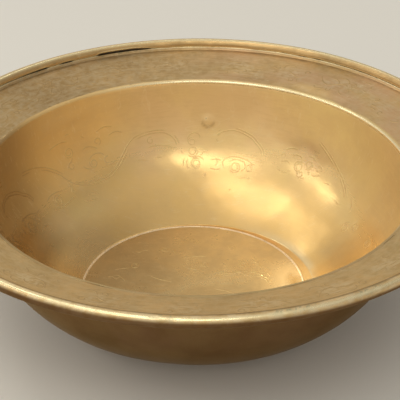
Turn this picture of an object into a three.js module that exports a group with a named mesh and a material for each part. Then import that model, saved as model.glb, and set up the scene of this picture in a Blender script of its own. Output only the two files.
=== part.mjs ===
// Brass basin with a broad rim, in millimetres. +Z is up and the table is z = 0.
// The origin is on the axis of the mouth, at the height of the table.
import * as THREE from 'three';

// Driving dimensions of the whole basin
const rimRadius = 200;
const height = 117.5;
const mouthRadius = 150.2;
const mouthHeight = 100.8;

// Sheet, wire and joints
const sheet = 1.2;
const seam = 0.3;
const wireRadius = 2.7;
const wireEndGap = 2;

// Curved side: it leaves the seat at an angle, swells outwards and ends upright at the mouth
const baseRadius = 88;
const seatWidth = 18;
const sideRise = THREE.MathUtils.degToRad(31);
const sideLowerPull = 70;
const sideUpperPull = 39;

// Lip of the side, turned out over the rim's inner edge
const lipBend = 2;
const lipReach = 2;
const lipThickness = 0.8;

// Floor disc, set a little off the bowl's centre, and the solder round it
const floorInset = 5.8;
const floorShift = -3.2;
const floorBeadWidth = 1.6;
const floorBeadRise = 0.7;
const floorBevel = 0.4;

// Rolled edge of the rim, from where it leaves the flat to its raw lip, and the fillet under the rim
const rollEndAngle = THREE.MathUtils.degToRad(218);
const filletLeg = 3.2;
const filletHollow = 0.35;

// Smoothness of the round shapes
const turnSteps = 72;
const sideSteps = 12;
const rollSteps = 14;
const cornerSteps = 4;
const wireSides = 10;

// Sizes that follow from the ones above
const rollInner = wireRadius + seam;
const rollOuter = rollInner + sheet;
const rollCentre = new THREE.Vector2(rimRadius - rollOuter, height - rollOuter);
const rimInner = new THREE.Vector2(mouthRadius + sheet + seam, mouthHeight - lipThickness - seam);
const rimSlope = slopeUnderRoll(rimInner, rollCentre, rollInner);
const discRadius = baseRadius - floorInset;
const discBottom = sheet + seam;
const discTop = discBottom + sheet;

// Slope of the line from a point that passes a circle on its underside, just touching it
function slopeUnderRoll(from, centre, radius) {
  const toCentre = centre.clone().sub(from);
  return toCentre.angle() - Math.asin(radius / toCentre.length());
}

// Height of the rim's top face at a radius, raised square to the face by an offset
function rimFace(radius, offset) {
  return rimInner.y + (radius - rimInner.x) * Math.tan(rimSlope) + offset / Math.cos(rimSlope);
}

// Points of an arc about a centre, both ends included
function arc(centre, radius, fromAngle, toAngle, steps) {
  return Array.from({ length: steps + 1 }, (_, i) => {
    const angle = fromAngle + ((toAngle - fromAngle) * i) / steps;
    return new THREE.Vector2(centre.x + radius * Math.cos(angle), centre.y + radius * Math.sin(angle));
  });
}

// Ring turned about the upright axis from a profile of radius and height, closed on itself
function turnedRing(profile) {
  const geometry = new THREE.LatheGeometry([...profile, profile[0].clone()], turnSteps);
  return geometry.rotateX(Math.PI / 2);
}

// Solid turned about the upright axis, whose profile starts and ends on that axis
function turnedDisc(profile) {
  return new THREE.LatheGeometry(profile, turnSteps).rotateX(Math.PI / 2);
}

// Height at which the lip's bend meets the upright side
function bendHeight() {
  const bendCentreRadius = mouthRadius + lipBend;
  return rimFace(bendCentreRadius, seam + lipThickness) - lipBend / Math.cos(rimSlope);
}

// Outer line of the side, from the seat's edge to the mouth
function sideCurve() {
  const foot = new THREE.Vector2(baseRadius, 0);
  const top = new THREE.Vector2(mouthRadius + sheet, bendHeight());
  const lowerPull = new THREE.Vector2(Math.cos(sideRise), Math.sin(sideRise)).multiplyScalar(sideLowerPull);
  const upperPull = new THREE.Vector2(0, -sideUpperPull);
  return new THREE.CubicBezierCurve(foot, foot.clone().add(lowerPull), top.clone().add(upperPull), top);
}

// Inner line of the side: the outer line moved square to itself by one sheet, from the mouth down
function innerSide(curve) {
  const points = [];
  for (let i = sideSteps; i > 0; i--) {
    const along = curve.getTangent(i / sideSteps);
    const inwards = new THREE.Vector2(-along.y, along.x).multiplyScalar(sheet);
    points.push(curve.getPoint(i / sideSteps).add(inwards));
  }
  return points;
}

function bowlWall() {
  const curve = sideCurve();
  const lipEnd = mouthRadius + sheet + lipReach;
  const bendCentre = new THREE.Vector2(mouthRadius + lipBend, bendHeight());
  const seatInner = baseRadius - seatWidth;
  const innerCorner = baseRadius - sheet * Math.tan(sideRise / 2);
  return turnedRing([
    new THREE.Vector2(seatInner, 0),
    ...curve.getPoints(sideSteps),
    new THREE.Vector2(mouthRadius + sheet, rimFace(mouthRadius + sheet, seam)),
    new THREE.Vector2(lipEnd, rimFace(lipEnd, seam)),
    new THREE.Vector2(lipEnd, rimFace(lipEnd, seam + lipThickness)),
    ...arc(bendCentre, lipBend, Math.PI / 2 + rimSlope, Math.PI, cornerSteps).slice(0, -1),
    ...innerSide(curve),
    new THREE.Vector2(innerCorner, sheet),
    new THREE.Vector2(seatInner, sheet),
  ]);
}

function floorDisc() {
  return turnedDisc([
    new THREE.Vector2(0, discBottom),
    new THREE.Vector2(discRadius, discBottom),
    new THREE.Vector2(discRadius, discTop - floorBevel),
    new THREE.Vector2(discRadius - floorBevel, discTop),
    new THREE.Vector2(0, discTop),
  ]);
}

// Bead beside the disc's edge: a quarter oval that stands a little above the floor
function floorSolder() {
  const inner = discRadius + seam;
  const rise = discTop + floorBeadRise - discBottom;
  const quarter = arc(new THREE.Vector2(0, 0), 1, 0, Math.PI / 2, cornerSteps);
  const outside = quarter.map((p) => new THREE.Vector2(inner + floorBeadWidth * p.x, discBottom + rise * p.y));
  return turnedRing([new THREE.Vector2(inner, discBottom), ...outside]);
}

// Broad rim: up its underside, round the outside of the roll, back round the inside, down its top face
function rimFlange() {
  const rollStart = rimSlope - Math.PI / 2;
  return turnedRing([
    new THREE.Vector2(rimInner.x, rimFace(rimInner.x, -sheet)),
    ...arc(rollCentre, rollOuter, rollStart, rollEndAngle, rollSteps),
    ...arc(rollCentre, rollInner, rollEndAngle, rollStart, rollSteps),
    rimInner.clone(),
  ]);
}

// Ring that the wire follows, open by the gap between its ends, which lies at the back
class WireLine extends THREE.Curve {
  getPoint(t) {
    const halfGap = wireEndGap / 2 / rollCentre.x;
    const angle = Math.PI / 2 + halfGap + t * (2 * Math.PI - 2 * halfGap);
    return new THREE.Vector3(
      rollCentre.x * Math.cos(angle),
      rollCentre.x * Math.sin(angle),
      rollCentre.y,
    );
  }
}

function rimWire() {
  const section = new THREE.Shape(arc(new THREE.Vector2(0, 0), wireRadius, 0, 2 * Math.PI, wireSides).slice(0, -1));
  return new THREE.ExtrudeGeometry(section, { steps: turnSteps, extrudePath: new WireLine() });
}

// Fillet in the corner between the side and the rim's underside, with a hollow face
function rimSolder() {
  const inner = mouthRadius + sheet + seam;
  const outer = inner + filletLeg;
  const under = -sheet - seam;
  const middle = (inner + outer) / 2;
  const corner = rimFace(inner, under);
  return turnedRing([
    new THREE.Vector2(inner, corner - filletLeg),
    new THREE.Vector2(middle - filletHollow, rimFace(middle, under) - filletLeg / 2 + filletHollow),
    new THREE.Vector2(outer, rimFace(outer, under)),
    new THREE.Vector2(inner, corner),
  ]);
}

const sideBrass = { color: 0xbe9b5a, roughness: 0.34, metalness: 1 };
const floorBrass = { color: 0xb8945a, roughness: 0.38, metalness: 1 };
const rimBrass = { color: 0xb79a6c, roughness: 0.42, metalness: 1 };
const solderBrass = { color: 0xd8bb84, roughness: 0.4, metalness: 1 };
const iron = { color: 0x5b5652, roughness: 0.6, metalness: 1 };

const basin = new THREE.Group();

function addPiece(name, geometry, finish, shift = 0) {
  const mesh = new THREE.Mesh(geometry, new THREE.MeshStandardMaterial(finish));
  mesh.name = name;
  mesh.position.x = shift;
  basin.add(mesh);
}

addPiece('bowl_wall', bowlWall(), sideBrass);
addPiece('floor_disc', floorDisc(), floorBrass, floorShift);
addPiece('floor_solder', floorSolder(), solderBrass, floorShift);
addPiece('rim_flange', rimFlange(), rimBrass);
addPiece('rim_wire', rimWire(), iron);
addPiece('rim_solder', rimSolder(), solderBrass);

export default basin;
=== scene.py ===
"""A worked brass basin with a broad rim rolled over a wire, and its worn engraving.

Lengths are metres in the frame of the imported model: +Z up along the axis of the mouth, the table at
z = 0 and -Y towards the viewer. An angle round the basin is measured from the back (+Y) towards the
right (+X).
"""
import math

import bpy
import numpy as np
from bpy.props import FloatProperty, FloatVectorProperty, PointerProperty
from bpy.types import Operator, Panel, PropertyGroup
from mathutils import Matrix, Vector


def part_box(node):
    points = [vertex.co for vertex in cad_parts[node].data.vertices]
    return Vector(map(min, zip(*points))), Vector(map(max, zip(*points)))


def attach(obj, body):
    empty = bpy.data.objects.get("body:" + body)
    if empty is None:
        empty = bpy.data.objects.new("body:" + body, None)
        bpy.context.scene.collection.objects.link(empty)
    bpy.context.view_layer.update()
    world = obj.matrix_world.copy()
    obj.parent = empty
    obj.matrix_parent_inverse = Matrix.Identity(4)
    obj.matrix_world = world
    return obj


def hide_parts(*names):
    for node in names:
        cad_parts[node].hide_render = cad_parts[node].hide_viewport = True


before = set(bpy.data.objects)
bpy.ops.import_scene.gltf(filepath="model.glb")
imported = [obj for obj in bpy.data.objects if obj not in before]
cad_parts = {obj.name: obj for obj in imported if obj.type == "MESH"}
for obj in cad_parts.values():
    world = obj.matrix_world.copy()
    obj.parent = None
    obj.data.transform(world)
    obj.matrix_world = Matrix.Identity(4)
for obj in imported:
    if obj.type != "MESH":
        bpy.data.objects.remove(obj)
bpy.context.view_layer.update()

bl_info = {
    "name": "Brass basin",
    "version": (1, 0, 0),
    "blender": (4, 5, 0),
    "location": "3D View > Sidebar > Basin",
    "description": "Builds the sheets, solder, wire and engraving of a worked brass basin",
    "category": "Mesh",
}

RIM_LOW, RIM_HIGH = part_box("rim_flange")

TURN = 2.0 * math.pi
MM = 0.001

# Points of the side's curve, steps round the basin of the fine and the plainer pieces, and sides of
# the wire
CURVE_POINTS = 4000
FINE_ROUND = 600
PLAIN_ROUND = 480
WIRE_SIDES = 20


# Sizes and colours that a user would change

def length_of(name, description, default):
    """Setting that holds a length in metres."""
    return FloatProperty(name=name, description=description, default=default, unit="LENGTH")


def angle_of(name, description, degrees):
    """Setting that holds an angle, given in degrees."""
    return FloatProperty(name=name, description=description, default=math.radians(degrees),
                         subtype="ANGLE")


def strength_of(name, description, default):
    """Setting that holds a plain number."""
    return FloatProperty(name=name, description=description, default=default)


def colour_of(name, description, *default):
    """Setting that holds a colour."""
    return FloatVectorProperty(name=name, description=description, default=default, subtype="COLOR")


class BasinSizes(PropertyGroup):
    """Sizes of the sheets, the solder and the wire"""

    rim_radius: length_of("Rim radius", "Outer radius of the rolled edge", RIM_HIGH.x - 0.0001)
    height: length_of("Height", "Height of the rolled edge above the table", RIM_HIGH.z)
    mouth_radius: length_of("Mouth radius", "Inner radius of the bowl at the mouth", 0.1502)
    mouth_height: length_of("Mouth height", "Height of the lip where it lies on the rim", 0.1008)
    sheet: length_of("Sheet", "Thickness of the brass sheets", 0.0012)
    seam: length_of("Seam", "Gap between sheets that lie on each other", 0.0003)
    seat_width: length_of("Seat width", "Width of the turned-in seat under the floor", 0.018)
    base_radius: length_of("Base radius", "Radius where the seat turns up into the side", 0.088)
    base_bend: length_of("Base bend", "Outer radius of the bend between seat and side", 0.005)
    side_rise: angle_of("Side rise", "Angle at which the side leaves the seat", 31.0)
    side_lower_pull: length_of("Lower pull", "How far the side keeps its angle at the foot", 0.070)
    side_upper_pull: length_of("Upper pull", "How far the side keeps upright under the mouth", 0.039)
    lip_bend: length_of("Lip bend", "Inner radius of the lip's bend", 0.002)
    lip_reach: length_of("Lip reach", "How far the lip lies over the rim", 0.002)
    lip_thickness: length_of("Lip thickness", "Thickness of the hammered lip", 0.0008)
    floor_inset: length_of("Floor inset", "How much smaller the floor disc is than the base", 0.0058)
    floor_shift: length_of("Floor shift", "How far the floor disc lies off the centre", -0.0032)
    bead_width: length_of("Bead width", "Width of the solder round the floor", 0.0016)
    bead_rise: length_of("Bead rise", "Height of the solder above the floor", 0.0007)
    wire_radius: length_of("Wire radius", "Radius of the wire in the rolled edge", 0.0027)
    wire_gap: length_of("Wire gap", "Gap between the wire's ends", 0.002)
    fillet_leg: length_of("Fillet leg", "Width of the solder fillet under the rim", 0.0032)
    unevenness: length_of("Unevenness", "How far the hand-worked sheets stray from true", 0.00018)


class EngravingSizes(PropertyGroup):
    """Sizes of the engraved lines"""

    line_width: length_of("Line width", "Width of a cut line with its burrs", 0.0014)
    burr_height: length_of("Burr height", "Height of the burrs beside a cut line", 0.00009)
    line_spacing: length_of("Line spacing", "Distance between the two lines of a double line", 0.0021)
    step: length_of("Step", "Length of one facet along a line", 0.0008)


class FinishSettings(PropertyGroup):
    """Colours of the metals"""

    side_bright: colour_of("Side, rubbed", "Rubbed brass of the bowl's inside", 0.94, 0.74, 0.34)
    side_dull: colour_of("Side, dull", "Dulled brass of the bowl's inside", 0.91, 0.64, 0.31)
    side_rosy: colour_of("Side, rosy", "Patches where the brass looks redder", 0.88, 0.59, 0.37)
    side_deep: colour_of("Side, low down", "Deeper brass at the bottom of the bowl", 0.86, 0.58, 0.23)
    side_matt: colour_of("Side, matt", "Brass with a matt skin under the mouth", 0.92, 0.74, 0.36)
    # Rubbed brass inside; on the lip's right-back half, the seat's right edge and the boss's upper left
    # it is a painted highlight
    side_rub_highlight: colour_of("Side, lip", "Brass rubbed bright on the lip and the boss", 0.98, 0.84, 0.55)
    floor_bright: colour_of("Floor, rubbed", "Rubbed brass of the floor disc", 0.88, 0.66, 0.33)
    floor_dull: colour_of("Floor, dull", "Dulled brass of the floor disc", 0.74, 0.53, 0.25)
    # Painted highlight: brightens the floor's right end
    floor_painted_highlight: colour_of("Floor, end", "Brass rubbed bright at the floor's right end", 1.0, 0.80, 0.48)
    rim_bright: colour_of("Rim, rubbed", "Rubbed brass of the rim", 0.79, 0.535, 0.245)
    rim_dull: colour_of("Rim, dull", "Dulled brass of the rim", 0.63, 0.43, 0.195)
    rim_rosy: colour_of("Rim, rosy", "Patches of the rim where the brass looks redder", 0.78, 0.49, 0.29)
    # Polished brass of the crest, the lip's end and the line under a closed lip; in part a painted
    # highlight
    rim_crest_highlight: colour_of("Rim, crest", "Polished brass on the rolled edge's crest", 0.96, 0.84, 0.54)
    rim_trace: colour_of("Rim, traces", "Pale worn metal round the rim's engraving", 0.82, 0.66, 0.42)
    # Also the colour that painted shade darkens the brass towards
    tarnish_and_shade: colour_of("Tarnish", "Dark brass of the outside", 0.110, 0.046, 0.014)
    verdigris: colour_of("Verdigris", "Green bloom in hollows and nicks", 0.19, 0.21, 0.13)
    solder: colour_of("Solder", "Pale brazing solder", 0.95, 0.76, 0.52)
    iron: colour_of("Iron", "Iron wire", 0.16, 0.14, 0.13)
    rust: colour_of("Rust", "Rust on the wire", 0.16, 0.07, 0.03)


class StageSettings(PropertyGroup):
    """Floor, lights and camera"""

    floor_colour: colour_of("Floor", "Colour of the pale floor", 0.84, 0.82, 0.79)
    fill_bright: strength_of("Fill, bright side", "Strength of the light from the bright side", 0.84)
    fill_dim: strength_of("Fill, dim side", "Strength of the light from the dim side", 0.36)
    window: strength_of("Window", "Radiance of the low light at the left", 3.5)
    ceiling: strength_of("Ceiling", "Radiance of the long light above the left side", 2.1)
    front: strength_of("Front", "Radiance of the soft light above the viewer", 2.3)
    back: strength_of("Back", "Radiance of the high light behind", 1.7)
    strip: strength_of("Strip", "Radiance of the narrow light behind on the left", 2.4)
    glow: strength_of("Glow", "Power of the small light on the right end of the floor disc", 24.0)
    lens: strength_of("Lens", "Focal length of the camera in millimetres", 108.0)
    camera_distance: length_of("Camera distance", "How far in front of the axis it stands", 0.7385)
    camera_height: length_of("Camera height", "Height of the camera above the table", 0.5140)
    camera_pitch: angle_of("Camera pitch", "How far the camera looks down", 30.65)
    camera_yaw: angle_of("Camera yaw", "How far the camera looks to the right", 0.14)
    camera_roll: angle_of("Camera roll", "How far the camera leans", -0.23)


# Lines and sheets in the plane of radius and height

def slow_waves(angle, along, size, rounds, crossings, seed, count=24):
    """Sum of cosines of whole numbers of waves round the basin and of any number along the sheet.

    Each of the count cosines has a drawn whole number of rounds up to the given one, a drawn number
    of crossings either way and a drawn phase; the sum is scaled to the given typical size.
    """
    draw = np.random.default_rng(seed)
    whole = draw.integers(1, rounds + 1, count)
    across = draw.uniform(-crossings, crossings, count)
    phase = draw.uniform(0.0, TURN, count)
    angle, along = np.broadcast_arrays(angle, along)
    waves = np.cos(whole * angle[..., None] + TURN * across * along[..., None] + phase)
    return size * waves.sum(-1) / math.sqrt(count / 2.0)


def eased(value, low, high):
    """0 below low, 1 above high and 3t^2 - 2t^3 in between, where t runs from 0 to 1."""
    t = np.clip((value - low) / (high - low), 0.0, 1.0)
    return t * t * (3.0 - 2.0 * t)


def near_angle(angle, middle, low, high=1.0):
    """Share that eases from 0 to 1 as the cosine of the angle from a middle goes from low to high.

    The middle is in degrees.
    """
    return eased(np.cos(angle - math.radians(middle)), low, high)


def angle_between(angle, centre):
    """Angle less its centre, brought to between minus and plus half a turn."""
    return (angle - centre + math.pi) % TURN - math.pi


class SheetLine:
    """The inside line of a sheet: points of radius and height, and the lengths along them."""

    def __init__(self, points):
        step = np.hypot(*np.diff(points, axis=0).T)
        keep = np.concatenate([[True], step > 1e-9])
        self.points = points[keep]
        step = np.hypot(*np.diff(self.points, axis=0).T)
        self.lengths = np.concatenate([[0.0], np.cumsum(step)])
        tangent = np.gradient(self.points, self.lengths, axis=0)
        self.tangents = tangent / np.hypot(*tangent.T)[:, None]

    def at(self, lengths):
        """Radius, height and the two parts of the tangent at some lengths, between the points."""
        columns = np.hstack([self.points, self.tangents]).T
        return [np.interp(lengths, self.lengths, column) for column in columns]


def arc_points(centre, radius, start, end, count):
    """Points of a circle about the centre, from the start angle to the end angle."""
    turn = np.linspace(start, end, count)
    return np.stack([centre[0] + radius * np.cos(turn), centre[1] + radius * np.sin(turn)], -1)


def rim_measures(s):
    """Roll's centre, rim's inner corner and the slope of a line from it that passes under the roll.

    The slope is the direction to the roll's centre less the arcsine of the roll's inner radius over
    the distance, so that the top face runs into the inside of the roll without a kink.
    """
    roll = s.wire_radius + s.seam + s.sheet
    centre = np.array([s.rim_radius - roll, s.height - roll])
    inner = np.array([s.mouth_radius + s.sheet + s.seam, s.mouth_height - s.lip_thickness - s.seam])
    away = centre - inner
    slope = math.atan2(away[1], away[0]) - math.asin((roll - s.sheet) / math.hypot(*away))
    return centre, inner, slope


def rim_face(s, radius, offset):
    """Height of the rim's top face at a radius, raised square to the face by an offset."""
    _, inner, slope = rim_measures(s)
    return inner[1] + (radius - inner[0]) * math.tan(slope) + offset / math.cos(slope)


# How far the lip stands on the rim at its bend and at its hammered edge
LIP_STANDS = 0.40 * MM
LIP_EDGE = 0.05 * MM


def side_line(s):
    """Inside line of the side, from the seat's inner edge up to the end of the lip.

    The seat is straight and level; an arc turns it up; then comes a cubic Bezier curve from the
    edge of the seat to the mouth, moved inwards by one sheet; then an arc about the lip's bend, and
    an end that eases down onto the rim. The second value is the length at the seat's corner.
    """
    _, _, slope = rim_measures(s)
    rise = np.array([math.cos(s.side_rise), math.sin(s.side_rise)])
    setback = s.base_bend * math.tan(s.side_rise / 2.0)
    bend_centre = (s.base_radius - setback, s.base_bend)
    bend = arc_points(bend_centre, s.base_bend - s.sheet, -TURN / 4, s.side_rise - TURN / 4, 60)
    seat = np.array([[s.base_radius - s.seat_width, s.sheet]])

    lip_radius = s.mouth_radius + s.lip_bend
    lip_height = rim_face(s, lip_radius, LIP_STANDS) - s.lip_bend / math.cos(slope)
    foot = np.array([s.base_radius, 0.0])
    top = np.array([s.mouth_radius + s.sheet, lip_height])
    t = np.linspace(0.0, 1.0, CURVE_POINTS)[:, None]
    low = foot + s.side_lower_pull * rise
    high = top - np.array([0.0, s.side_upper_pull])
    curve = (1 - t) ** 3 * foot + 3 * (1 - t) ** 2 * t * low + 3 * (1 - t) * t**2 * high + t**3 * top
    slant = 3 * (1 - t) ** 2 * (low - foot) + 6 * (1 - t) * t * (high - low) + 3 * t**2 * (top - high)
    slant = slant / np.hypot(*slant.T)[:, None]
    inside = curve + s.sheet * np.stack([-slant[:, 1], slant[:, 0]], -1)
    inside = inside[np.hypot(*(curve - foot).T) > setback]

    lip = arc_points((lip_radius, lip_height), s.lip_bend, TURN / 2, TURN / 4 + slope, 60)
    out = np.linspace(0.0, 1.0, 30)[1:, None]
    reach = s.mouth_radius + s.sheet + s.lip_reach - lip[-1, 0]
    end = lip[-1] + reach * out * np.array([1.0, math.tan(slope)])
    end[:, 1:] -= (LIP_STANDS - LIP_EDGE) * eased(out, 0.1, 1.0)
    line = SheetLine(np.vstack([seat, bend, inside, lip, end]))
    corner = s.seat_width - s.sheet * math.tan(s.side_rise / 2.0)
    return line, corner


# Shapes of the hand-worked surfaces

# Length of the side's sheet from its foot to the mouth, over which its waves are counted
SIDE_LENGTH = 0.125

# The knock in the side: its angle, its length up the side, its radius and its height
BOSS_ANGLE = math.radians(3.6)
BOSS_ALONG = 90 * MM
BOSS_RADIUS = 5.2 * MM
BOSS_HEIGHT = 0.8 * MM


def side_bend(s, angle, along):
    """How far the side's sheet stands in from its true line, at an angle and a length up the side.

    Long waves and small planishing marks, both faded out at the foot and under the mouth, and one
    knock from outside that stands up inside as a low boss: the exponential of minus the fourth power
    of the distance from it.
    """
    up = along / SIDE_LENGTH
    held = eased(up, 0.02, 0.2) * (1.0 - eased(up, 0.86, 0.97))
    waves = slow_waves(angle, up, s.unevenness, 9, 1.2, seed=3)
    marks = slow_waves(angle, up, 0.24 * s.unevenness, 60, 9.0, seed=5, count=40)
    marks = marks * (0.35 + 0.65 * eased(up, 0.40, 0.60))
    away = np.hypot(angle_between(angle, BOSS_ANGLE) * s.mouth_radius, along - BOSS_ALONG)
    boss = BOSS_HEIGHT * np.exp(-((away / BOSS_RADIUS) ** 4))
    return held * (waves + marks) + boss


def painted_boss_shade(s, angle, along):
    """Share of painted shade in the crease under the boss: a Gaussian ring about it, cut to its lower
    half.
    """
    beside = angle_between(angle, BOSS_ANGLE) * s.mouth_radius
    below = along - BOSS_ALONG
    away = np.hypot(beside, below)
    lower = eased(-below / np.maximum(away, 1e-6), -0.15, 0.6)
    return 0.35 * lower * np.exp(-(((away - 0.95 * BOSS_RADIUS) / (1.1 * MM)) ** 2))


def painted_side_shade(angle, along):
    """Share of painted shade inside, the sum of parts that ease over the angle and the length.

    High up it is strong on the left, weaker on the right and thinnest behind; half way up on the
    left it is strongest; at the foot it fades out towards the right, where a weak patch lies higher.
    """
    left = near_angle(angle, -90, 0.76)
    right = near_angle(angle, 88, 0.72)
    beside = 0.08 * (1.0 - near_angle(angle, 12, 0.90, 0.99))
    high_up = (0.46 * left + 0.15 * right + beside) * eased(along, 42 * MM, 74 * MM)
    low_left = 0.14 * near_angle(angle, -96, 0.6) * eased(along, 10 * MM, 30 * MM)
    corner = near_angle(angle, -93, 0.84) * eased(along, 16 * MM, 36 * MM)
    corner = corner * (1.0 - eased(along, 46 * MM, 72 * MM))
    foot = 0.08 + 0.28 * near_angle(angle, -74, 0.55)
    foot = foot * (1.0 - eased(along, 4 * MM, 40 * MM))
    foot = foot * (1.0 - near_angle(angle, 70, 0.5))
    low_right = near_angle(angle, 72, 0.88) * eased(along, 8 * MM, 22 * MM)
    foot = foot + 0.15 * low_right * (1.0 - eased(along, 26 * MM, 46 * MM))
    return high_up + low_left + 0.50 * corner + foot


def rim_bend(s, angle, radius):
    """How far the rim's top face stands above its true cone: long waves and small marks.

    Both fade out at the lip and at the roll.
    """
    centre, inner, _ = rim_measures(s)
    out = (radius - inner[0]) / (centre[0] - inner[0])
    held = eased(out, 0.04, 0.25) * (1.0 - eased(out, 0.72, 0.95))
    waves = slow_waves(angle, out, 1.2 * s.unevenness, 11, 0.7, seed=11)
    marks = slow_waves(angle, out, 0.12 * s.unevenness, 80, 4.0, seed=13, count=40)
    return held * (waves + marks)


def painted_rim_shade(angle):
    """Share of painted shade on the rim's top face: some all along the back, more at the back
    left, a trace at the left."""
    back = 0.2 * eased(np.cos(angle + 0.2), -0.3, 0.7)
    return back + 0.18 * near_angle(angle, -33, 0.88) + 0.08 * near_angle(angle, -85, 0.6)


def floor_bend(s, angle, radius):
    """How far the floor stands above its true plane: waves that fade out at its edge and centre."""
    disc = s.base_radius - s.floor_inset
    out = radius / disc
    held = eased(out, 0.0, 0.35) * (1.0 - eased(out, 0.85, 0.99))
    waves = slow_waves(angle, out, 0.6 * s.unevenness, 6, 1.0, seed=17)
    marks = slow_waves(angle, out, 0.1 * s.unevenness, 30, 5.0, seed=19, count=40)
    return held * (waves + marks)


def painted_floor_shade(x):
    """Share of painted shade on the floor, which eases in from the right to the left."""
    return eased(-x, -0.04, 0.07)


# Angle from the back in degrees, and how far round the roll its raw lip comes there in degrees
LIP_END = [
    (-180, 228), (-150, 224), (-120, 229), (-95, 226), (-75, 226), (-58, 227), (-47, 226),
    (-43, 219), (-39, 218), (-38, 231), (-35.5, 232), (-34.5, 221), (-32, 220), (-30.5, 235),
    (-25.5, 233), (-24.5, 206), (-20, 201), (-15, 206), (-11, 226), (-8, 233), (8, 235), (12, 233),
    (17, 229), (23, 227), (25, 228), (27, 222), (29, 230), (31, 221), (33, 230), (38, 226),
    (45, 224), (52, 226), (58, 225), (75, 229), (100, 226), (128, 230), (150, 226),
]

# How much sooner than that the lip ends everywhere
LIP_CUT = math.radians(28.0)

# Outer radius of the roll, which turns an angle round it into a distance
ROLL_RADIUS = 0.0042

# Nicks in the rolled edge: angle, place round the roll, half-lengths along and round, and depth
BEAD_NICKS = [
    (-173.2, 62, 2.6, 1.1, 0.34), (-176.6, 48, 2.0, 0.9, 0.30), (-175.4, 80, 1.2, 0.8, 0.2),
    (166.2, 55, 3.0, 1.6, 0.36), (163.6, 70, 2.4, 1.4, 0.30), (161.4, 40, 3.4, 1.3, 0.26),
    (151.2, 66, 3.6, 1.4, 0.34), (148.8, 50, 2.4, 1.0, 0.30), (38.0, 84, 1.6, 1.0, 0.22),
    (-96.0, 60, 2.5, 1.2, 0.28), (104.0, 42, 2.2, 1.2, 0.26), (-131.0, 72, 1.8, 1.0, 0.22),
]


def lip_end(angle):
    """Angle round the roll at which the raw lip ends, between the listed places, in radians."""
    places = np.radians([place for place, _ in LIP_END])
    ends = np.radians([end for _, end in LIP_END]) - LIP_CUT
    ragged = slow_waves(angle, 0.0, math.radians(0.7), 90, 0.0, seed=23, count=40)
    return np.interp(angle_between(angle, 0.0), places, ends, period=TURN) + ragged


def bead_dents(angle, turn, radius):
    """How far nicks and wear push in the outside of the roll: a Gaussian for each nick."""
    worn = 0.05 * MM * (1.0 + slow_waves(angle, turn / TURN, 0.5, 24, 1.5, seed=29))
    dents = np.clip(worn, 0.0, None)
    for place, around, half_long, half_round, depth in BEAD_NICKS:
        along = angle_between(angle, math.radians(place)) * radius
        across = (turn - math.radians(around)) * ROLL_RADIUS
        reach = (along / (half_long * MM)) ** 2 + (across / (half_round * MM)) ** 2
        dents = dents + depth * MM * np.exp(-reach)
    return dents


# Meshes

def new_mesh(name, points, quads, triangles=None):
    """Object from corner points, quads and triangles, whose faces are turned to point outwards.

    The sign of the volume, the sum of the triple products of each face's corners, tells which way
    they pointed.
    """
    triangles = np.zeros((0, 3), np.int64) if triangles is None else triangles
    first, second = quads[:, [0, 1, 2]], quads[:, [0, 2, 3]]
    corners = points[np.vstack([first, second, triangles])]
    volume = np.einsum("ij,ij->i", corners[:, 0], np.cross(corners[:, 1], corners[:, 2])).sum()
    if volume < 0.0:
        quads, triangles = quads[:, ::-1], triangles[:, ::-1]
    loops = np.concatenate([quads.ravel(), triangles.ravel()])
    sizes = np.concatenate([np.full(len(quads), 4), np.full(len(triangles), 3)])
    mesh = bpy.data.meshes.new(name)
    mesh.vertices.add(len(points))
    mesh.vertices.foreach_set("co", points.astype(np.float32).ravel())
    mesh.loops.add(len(loops))
    mesh.loops.foreach_set("vertex_index", loops.astype(np.int32))
    mesh.polygons.add(len(sizes))
    mesh.polygons.foreach_set("loop_start", (np.cumsum(sizes) - sizes).astype(np.int32))
    mesh.polygons.foreach_set("use_smooth", np.ones(len(sizes), bool))
    mesh.update(calc_edges=True)
    piece = bpy.data.objects.new(name, mesh)
    bpy.context.scene.collection.objects.link(piece)
    return piece


def ring_quads(around, along, start=0):
    """Quads of a grid that closes on itself both ways, its points numbered along first."""
    u, v = np.meshgrid(np.arange(around), np.arange(along), indexing="ij")
    next_u, next_v = (u + 1) % around, (v + 1) % along
    corners = [u * along + v, next_u * along + v, next_u * along + next_v, u * along + next_v]
    return start + np.stack(corners, -1).reshape(-1, 4)


def turned(radius, height, angle):
    """Points at a radius, height and angle from the back towards the right."""
    radius, height, angle = np.broadcast_arrays(radius, height, angle)
    return np.stack([radius * np.sin(angle), radius * np.cos(angle), height], -1)


def turned_ring(name, radius, height, angle):
    """Closed ring of sheet: the section's radius and height at each angle, joined all round."""
    points = turned(radius, height, angle)
    return new_mesh(name, points.reshape(-1, 3), ring_quads(*points.shape[:2]))


def mark(piece, name, values):
    """Stores one number for each point of the piece, for its material to read."""
    attribute = piece.data.attributes.new(name, "FLOAT", "POINT")
    attribute.data.foreach_set("value", np.ascontiguousarray(values, np.float32).ravel())


def angles_round(count):
    """Column of evenly spaced angles round the basin."""
    return (np.arange(count) * TURN / count)[:, None]


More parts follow.
